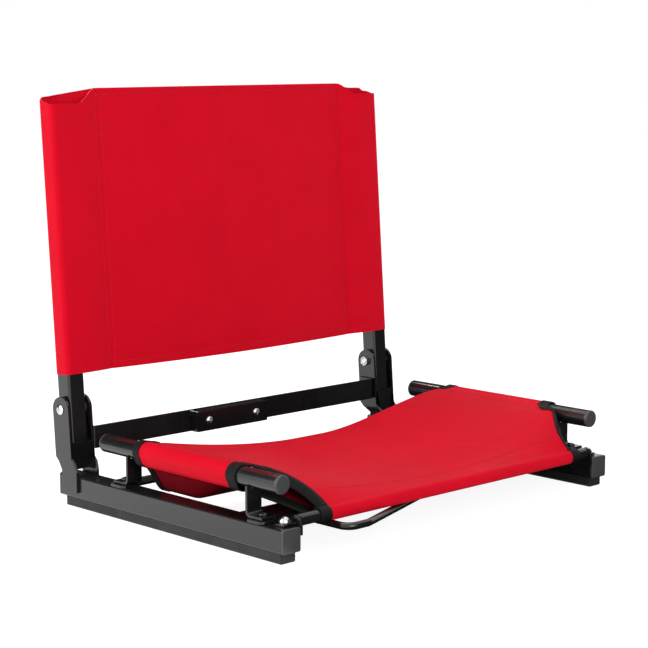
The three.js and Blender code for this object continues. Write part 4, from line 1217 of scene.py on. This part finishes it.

# The upper layer has to face up. The rows of the under layer, and the inner side that the
# shell adds, take the darker copy of the red cloth: painted shade for the shadow under the
# seat.
near_middle = [
    face for face in sling.data.polygons
    if max(abs(face.center.x), abs(face.center.y)) < MIDDLE_REACH
]
if max(near_middle, key=lambda face: face.center.z).normal.z < 0:
    sling.data.flip_normals()
under_faces = UNDER_ROWS * (ROW_POINTS - 1)
for face in sling.data.polygons[:under_faces]:
    face.material_index = 1
sling.data.materials.append(red_cloth)
sling.data.materials.append(painted_shade_red_cloth)
apply_modifier(sling, "SOLIDIFY", thickness=CLOTH, offset=0, material_offset=1)
smooth(sling, 60)
dress(sling, "seat_sling", "frame", None)

# Edge tape
# Black woven tape, folded over the cloth's raw edges and sewn through: round the ends of
# the side and front sleeves, down the cut front corners of both layers and along the rear
# edge of the under layer.
TAPE = 0.0008
TAPE_PLAY = 0.0001
FRONT_TAPE_WIDTH = 0.0125
REAR_TAPE_WIDTH = 0.0095
TAPE_STEPS = 4
TAPE_MITRE = 0.0075
MITRE_LEAST_SHARE = 0.15
SEAM_STEP = 0.002
SEAM_UNDER = 0.001
SEAM_OVER = 0.0012
REAR_TAPE_INSET = 0.002
CORNER_TAPE_ROWS = 40
UNDER_TAPE_ROWS = 30
RING_STEPS = 28

tape_shares = evenly(0, 1, TAPE_STEPS)


def fold_over(inward_spots, outward):
    """The tape's line over one point of the edge: in on top, round it and back below."""
    lift = CLOTH / 2 + TAPE / 2 + TAPE_PLAY
    above = [spot + normal * lift for spot, normal in zip(inward_spots, outward)]
    below = [spot - normal * lift for spot, normal in zip(inward_spots, outward)]
    away = (inward_spots[0] - inward_spots[1]).normalized()
    round_edge = []
    for turn in evenly(0, math.pi, 6)[1:-1]:
        arm = outward[0] * math.cos(turn) + away * math.sin(turn)
        round_edge.append(inward_spots[0] + arm * lift)
    return above[::-1] + round_edge + below


def flat_fold(spots, normal):
    return fold_over(spots, [normal] * len(spots))


def edge_tape(name, lines, closed=False):
    tape = cloth_mesh(name, lines + [lines[0]] if closed else lines)
    weld(tape, 0.00001)
    apply_modifier(tape, "SOLIDIFY", thickness=TAPE, offset=0)
    smooth(tape, 50)
    return tape


def sleeve_ring(side, y, inward, width):
    """Tape lines round the open end of a side sleeve. The front one is mitred on top, where
    the tape turns off along the cut corner."""
    loop = [(SLEEVE_TOP_X, sleeve_top)] + sleeve_loop[:-1]
    first_on_top = len(loop)
    seam_z = sling_height(side * SEAM_X, y)
    loop += [(SEAM_X, seam_z - SEAM_UNDER), (SEAM_X + SEAM_STEP, seam_z + SEAM_OVER)]
    for x in evenly(SEAM_X + SEAM_STEP, SLEEVE_TOP_X, 4)[1:-1]:
        loop.append((x, sling_height(side * x, y)))
    lines = []
    for index, (x, z) in enumerate(loop):
        before, after = loop[index - 1], loop[(index + 1) % len(loop)]
        normal = Vector((side * (before[1] - after[1]), 0, after[0] - before[0])).normalized()
        reach = inward * width
        if inward > 0 and index >= first_on_top:
            reach *= min(max((x - SEAM_X) / TAPE_MITRE, MITRE_LEAST_SHARE), 1)
        spots = [Vector((side * x, y + reach * share, z)) for share in tape_shares]
        lines.append(flat_fold(spots, normal))
    return lines


def tape_spot(side, y, way):
    """A place on the cloth a way out from the red edge, or inward where it is negative."""
    if way >= 0:
        return flap_spot(side, y, way)
    return sling_spot(side * (half_width(y, side) + way), y)


def corner_lines(side):
    """Tape down the cut corner, from sleeve to front tube: (lines, sewn line, its normals)."""
    lines, sewn_spots, sewn_normals = [], [], []
    for y in evenly(SLEEVE_FRONT, cross_y, CORNER_TAPE_ROWS):
        ways = [flap_length(y) - FRONT_TAPE_WIDTH * share for share in tape_shares]
        spots = [tape_spot(side, y, way) for way in ways]
        normals = []
        for k, way in enumerate(ways):
            inward = spots[min(k + 1, TAPE_STEPS)] - spots[max(k - 1, 0)]
            ahead = tape_spot(side, y - 0.001, way) - tape_spot(side, y + 0.001, way)
            normals.append(ahead.cross(inward).normalized() * -side)
        lines.append(fold_over(spots, normals))
        sewn_spots.append(spots[-2] + normals[-2] * (CLOTH / 2 + TAPE))
        sewn_normals.append(normals[-2])
    return lines, sewn_spots, sewn_normals


def under_lines(side):
    """Tape lines down the cut corner of the under layer."""
    lines = []
    for y in evenly(SLEEVE_FRONT, cross_y, UNDER_TAPE_ROWS):
        edge = side * under_half(y, side)
        shifts = [FRONT_TAPE_WIDTH * share for share in tape_shares]
        spots = [under_spot(edge - side * shift * 0.8, y + shift * 0.5) for shift in shifts]
        lines.append(flat_fold(spots, Vector((0, 0, 1))))
    return lines


def front_ring(side):
    """Tape lines round the end of the front sleeve."""
    lines = []
    centre = Vector((FRONT_SHIFT + side * FRONT_HALF, cross_y, cross_z))
    for turn in evenly(0, 2 * math.pi, RING_STEPS)[:-1]:
        normal = Vector((0, math.cos(turn), math.sin(turn)))
        inward = Vector((-side * FRONT_TAPE_WIDTH, 0, 0))
        spots = [centre + normal * cross_r + inward * share for share in tape_shares]
        lines.append(flat_fold(spots, normal))
    return lines


def under_rear_lines():
    """Tape lines along the rear edge of the under layer."""
    lines = []
    step = 0.0006
    for end in under_row(SLEEVE_REAR):
        x = max(min(end.x, UNDER_HALF - REAR_TAPE_INSET), REAR_TAPE_INSET - UNDER_HALF)
        spots = [under_spot(x, SLEEVE_REAR - REAR_TAPE_WIDTH * share) for share in tape_shares]
        across = under_spot(x + step, SLEEVE_REAR) - under_spot(x - step, SLEEVE_REAR)
        lines.append(flat_fold(spots, across.cross(spots[0] - spots[1]).normalized()))
    return lines


rear_edge = edge_tape("under_rear_tape", under_rear_lines())
dress(rear_edge, None, "frame", black_tape)
for side, word in ((-1, "left"), (1, "right")):
    cut_lines, cut_spots, cut_normals = corner_lines(side)
    front_end = sleeve_ring(side, SLEEVE_FRONT, 1, FRONT_TAPE_WIDTH)
    parts = [
        edge_tape(f"{word}_corner_tape", cut_lines),
        edge_tape("under_corner", under_lines(side)),
        edge_tape("front_end", front_end, closed=True),
        edge_tape("front_tube_end", front_ring(side), closed=True),
    ]
    binding = join_pieces(f"{word}_front_tape", *parts)
    dress(binding, None, "frame", black_tape)
    rear_end = sleeve_ring(side, SLEEVE_REAR, -1, REAR_TAPE_WIDTH)
    rear = edge_tape(f"{word}_rear_tape", rear_end, closed=True)
    dress(rear, None, "frame", black_tape)
    stitch_row(f"{word}_tape_stitches", cut_spots, cut_normals, black_thread, "frame")

# Sling stitching
# Twin rows of red lockstitch close the side sleeves, one row closes the front sleeve, and
# one holds the rear hem.
TWIN_ROWS = 0.006
SEAM_ENDS = 0.008
FRONT_SEAM_ENDS = 0.004
HEM = 0.007
HEM_ENDS = 0.010
FRONT_SEAM_BACK = 0.019
THREAD_LIFT = CLOTH / 2


def sling_seam(name, places):
    normals = [sling_outward(x, y) for x, y in places]
    route = [sling_spot(*spot) + n * THREAD_LIFT for spot, n in zip(places, normals)]
    stitch_row(name, route, normals, red_thread, "frame")


for side, word in ((-1, "left"), (1, "right")):
    for row, shift in (("outer", 0), ("inner", TWIN_ROWS)):
        x = side * (SEAM_X - shift)
        ways = evenly(SLEEVE_FRONT + FRONT_TAPE_WIDTH, SLEEVE_REAR - SEAM_ENDS, 60)
        sling_seam(f"{word}_sleeve_{row}_stitches", [(x, y) for y in ways])
seam_y = cross_y + FRONT_SEAM_BACK
seam_left = FRONT_SEAM_ENDS - half_width(seam_y, -1)
seam_right = half_width(seam_y, 1) - FRONT_SEAM_ENDS
places = [(x, seam_y) for x in evenly(seam_left, seam_right, 100)]
sling_seam("front_sleeve_stitches", places)
hem_reach = evenly(HEM_ENDS - SEAM_X, SEAM_X - HEM_ENDS, 120)
sling_seam("rear_hem_stitches", [(x, SLEEVE_REAR - HEM) for x in hem_reach])

# Back panel
# Doubled cloth with a pocket sewn for each upright. The seams run down inside the
# pockets, and the top and bottom edges are hemmed.
PANEL_FOOT = 0.039
PANEL_HEIGHT = 0.3175
PANEL_SEAM = 0.190
SEAM_DEPTH = 0.0052
PANEL_CROWN = 0.0040
PANEL_ROWS = 84
PANEL_COLUMNS = 36
PANEL_SIDE_ROUND = 0.0058
FOOT_SAG = 0.0018
LAYER_PLAY = 0.0002
EVEN_SHARE = 0.55
HEM_LIFT = 0.0005
HEM_SOFT = 0.0015
HEM_GROOVE = 0.0011
SEAM_PULL = 0.0010
SEAM_PULL_WIDTH = 0.0022
PANEL_PUCKER = 0.00025
PANEL_PUCKER_PITCH = 0.017
PANEL_PUCKER_RUN = 0.012
PANEL_SLACK = 0.00035
CORNER_FALLS = {-1: (0.0075, 0.0165), 1: (0.0050, 0.0135)}
CORNER_DIPS = {-1: 0, 1: 0.0016}
CORNER_RUN = 0.028
POCKET_RUN = 0.052
POCKET_RIM_FALL = 0.0045
POCKET_RIM_WIDTH = 0.004
OUTER_ROW = 0.0012
FOOT_ROW_OVER = 0.004
BARTACK_DROPS = (0.0075, 0.0155, 0.0440, 0.0520)
BARTACK = 0.016

upright_low, upright_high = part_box("right_upright")
upright_x = (upright_low.x + upright_high.x) / 2
pocket = UPRIGHT_SIZE / 2 + FIT + CLOTH / 2
pocket_out = upright_x + pocket
pocket_in = upright_x - pocket


def front_depth(x):
    """How far back the front layer lies at a place across the panel."""
    out = abs(x)
    if out <= PANEL_SEAM:
        return -pocket + SEAM_DEPTH - PANEL_CROWN * (1 - (out / PANEL_SEAM) ** 2)
    share = min((out - PANEL_SEAM) / (upright_x - UPRIGHT_SIZE / 2 - PANEL_SEAM), 1)
    return -pocket + SEAM_DEPTH * (1 - share) ** 1.5


def panel_loop():
    """The panel from above, as a closed loop: (x, y, how far it belongs to the front)."""
    turn_x, turn_y = pocket_out - PANEL_SIDE_ROUND, pocket - PANEL_SIDE_ROUND

    def corner(middle_y, first, layer):
        for turn in (math.radians(first + 15 * step) for step in range(7)):
            x = turn_x + PANEL_SIDE_ROUND * math.cos(turn)
            right.append((x, middle_y + PANEL_SIDE_ROUND * math.sin(turn), layer))

    flat = evenly(0, PANEL_SEAM, PANEL_COLUMNS)
    right = [(x, front_depth(x), 1) for x in flat + evenly(PANEL_SEAM, turn_x, 15)[1:-1]]
    corner(-turn_y, -90, 1)
    for share in evenly(0, 1, 6)[1:-1]:
        right.append((pocket_out, turn_y * (2 * share - 1), 1 - share))
    corner(turn_y, 0, 0)
    right += [(x, pocket, 0) for x in evenly(turn_x, pocket_in, 4)[1:]]
    behind = CLOTH + LAYER_PLAY
    depths = evenly(pocket, front_depth(PANEL_SEAM) + behind, 10)
    right += [(x, y, 0) for x, y in zip(evenly(pocket_in, PANEL_SEAM, 10)[1:], depths[1:])]
    right += [(x, front_depth(x) + behind, 0) for x in flat[-2::-1]]
    return right + [(-x, y, layer) for x, y, layer in right[-2:0:-1]]


def panel_top(x, layer):
    """Height of the top edge: level between the seams, lower over the pockets."""
    side = 1 if x > 0 else -1
    back_fall, front_fall = CORNER_FALLS[side]
    out = abs(x) - PANEL_SEAM
    over_pocket = clamp(out / POCKET_RUN)
    dip = CORNER_DIPS[side] * math.sin(math.pi * over_pocket)
    rim = POCKET_RIM_FALL * bell(abs(x) - pocket_out, POCKET_RIM_WIDTH)
    behind = (1 - layer) * (back_fall * over_pocket + dip + rim)
    return PANEL_HEIGHT - front_fall * ease(out / CORNER_RUN) * layer - behind


def panel_relief(x, z, layer):
    """Small forward shifts: rolled hems, sewn lines, puckers and slack in the cloth."""
    from_edge = min(z, panel_top(x, layer) - z)
    from_seam = abs(x) - PANEL_SEAM
    side = math.copysign(1, x)
    hem = HEM_LIFT * (1 - ease((from_edge - HEM) / HEM_SOFT))
    groove = -HEM_LIFT * bell(from_edge - HEM, HEM_GROOVE)
    seam = -SEAM_PULL * bell(from_seam, SEAM_PULL_WIDTH)
    pucker = math.sin(2 * math.pi * z / PANEL_PUCKER_PITCH + side)
    pucker += 0.7 * math.sin(z / 0.0041 + 3 * side)
    pucker *= PANEL_PUCKER * bell(from_seam, PANEL_PUCKER_RUN)
    slack = math.sin(x / 0.047 + z / 0.031) + 0.8 * math.sin(x / 0.029 - z / 0.056 + 1.7)
    slack += 0.7 * math.sin(x / 0.083 + z / 0.019 + 0.6)
    slack *= PANEL_SLACK * ease(-from_seam / 0.03)
    return hem + groove + seam + pucker + slack


around = panel_loop()
panel_points = []
for share in evenly(0, 1, PANEL_ROWS):
    crowded = 0.5 - 0.5 * math.cos(math.pi * share)
    share = EVEN_SHARE * share + (1 - EVEN_SHARE) * crowded
    line = []
    for x, y, layer in around:
        z = panel_top(x, layer) * share
        sag = FOOT_SAG * (1 - (min(abs(x), PANEL_SEAM) / PANEL_SEAM) ** 2) * (1 - share) ** 6
        forward = panel_relief(x, z, layer) if layer in (0, 1) and abs(x) < upright_x else 0
        facing = 1 if layer != 1 and abs(x) > PANEL_SEAM else -1
        line.append(Vector((x, y + facing * forward, PANEL_FOOT + z - sag)))
    panel_points.append(line)
panel = cloth_mesh("back_panel_cloth", panel_points, closed=True)
panel.data.transform(lean)
apply_modifier(panel, "SOLIDIFY", thickness=CLOTH, offset=0)
smooth(panel, 60)
dress(panel, "back_panel", "backrest", red_cloth)


def panel_seam(name, places):
    """Stitches on the front of the panel, through (x, height) places."""
    facing = lean.to_3x3() @ Vector((0, -1, 0))
    route = []
    for x, z in places:
        y = front_depth(x) - panel_relief(x, z, 1) - THREAD_LIFT
        route.append(lean @ Vector((x, y, PANEL_FOOT + z)))
    stitch_row(name, route, [facing] * len(route), red_thread, "backrest")


for side, word in ((-1, "left"), (1, "right")):
    for row, shift in (("outer", OUTER_ROW), ("inner", -TWIN_ROWS)):
        x = side * (PANEL_SEAM + shift)
        places = [(x, z) for z in evenly(HEM, PANEL_HEIGHT - HEM, 60)]
        panel_seam(f"{word}_panel_{row}_stitches", places)
for drop in BARTACK_DROPS:
    places = [(x, PANEL_HEIGHT - drop) for x in evenly(-PANEL_SEAM, BARTACK - PANEL_SEAM, 6)]
    panel_seam(f"left_bartack_{round(drop * 10000)}", places)
for name, z, reach in (
    ("panel_foot_stitches", HEM, PANEL_SEAM + FOOT_ROW_OVER),
    ("panel_top_stitches", PANEL_HEIGHT - HEM, PANEL_SEAM),
):
    panel_seam(name, [(x, z) for x in evenly(-reach, reach, 90)])
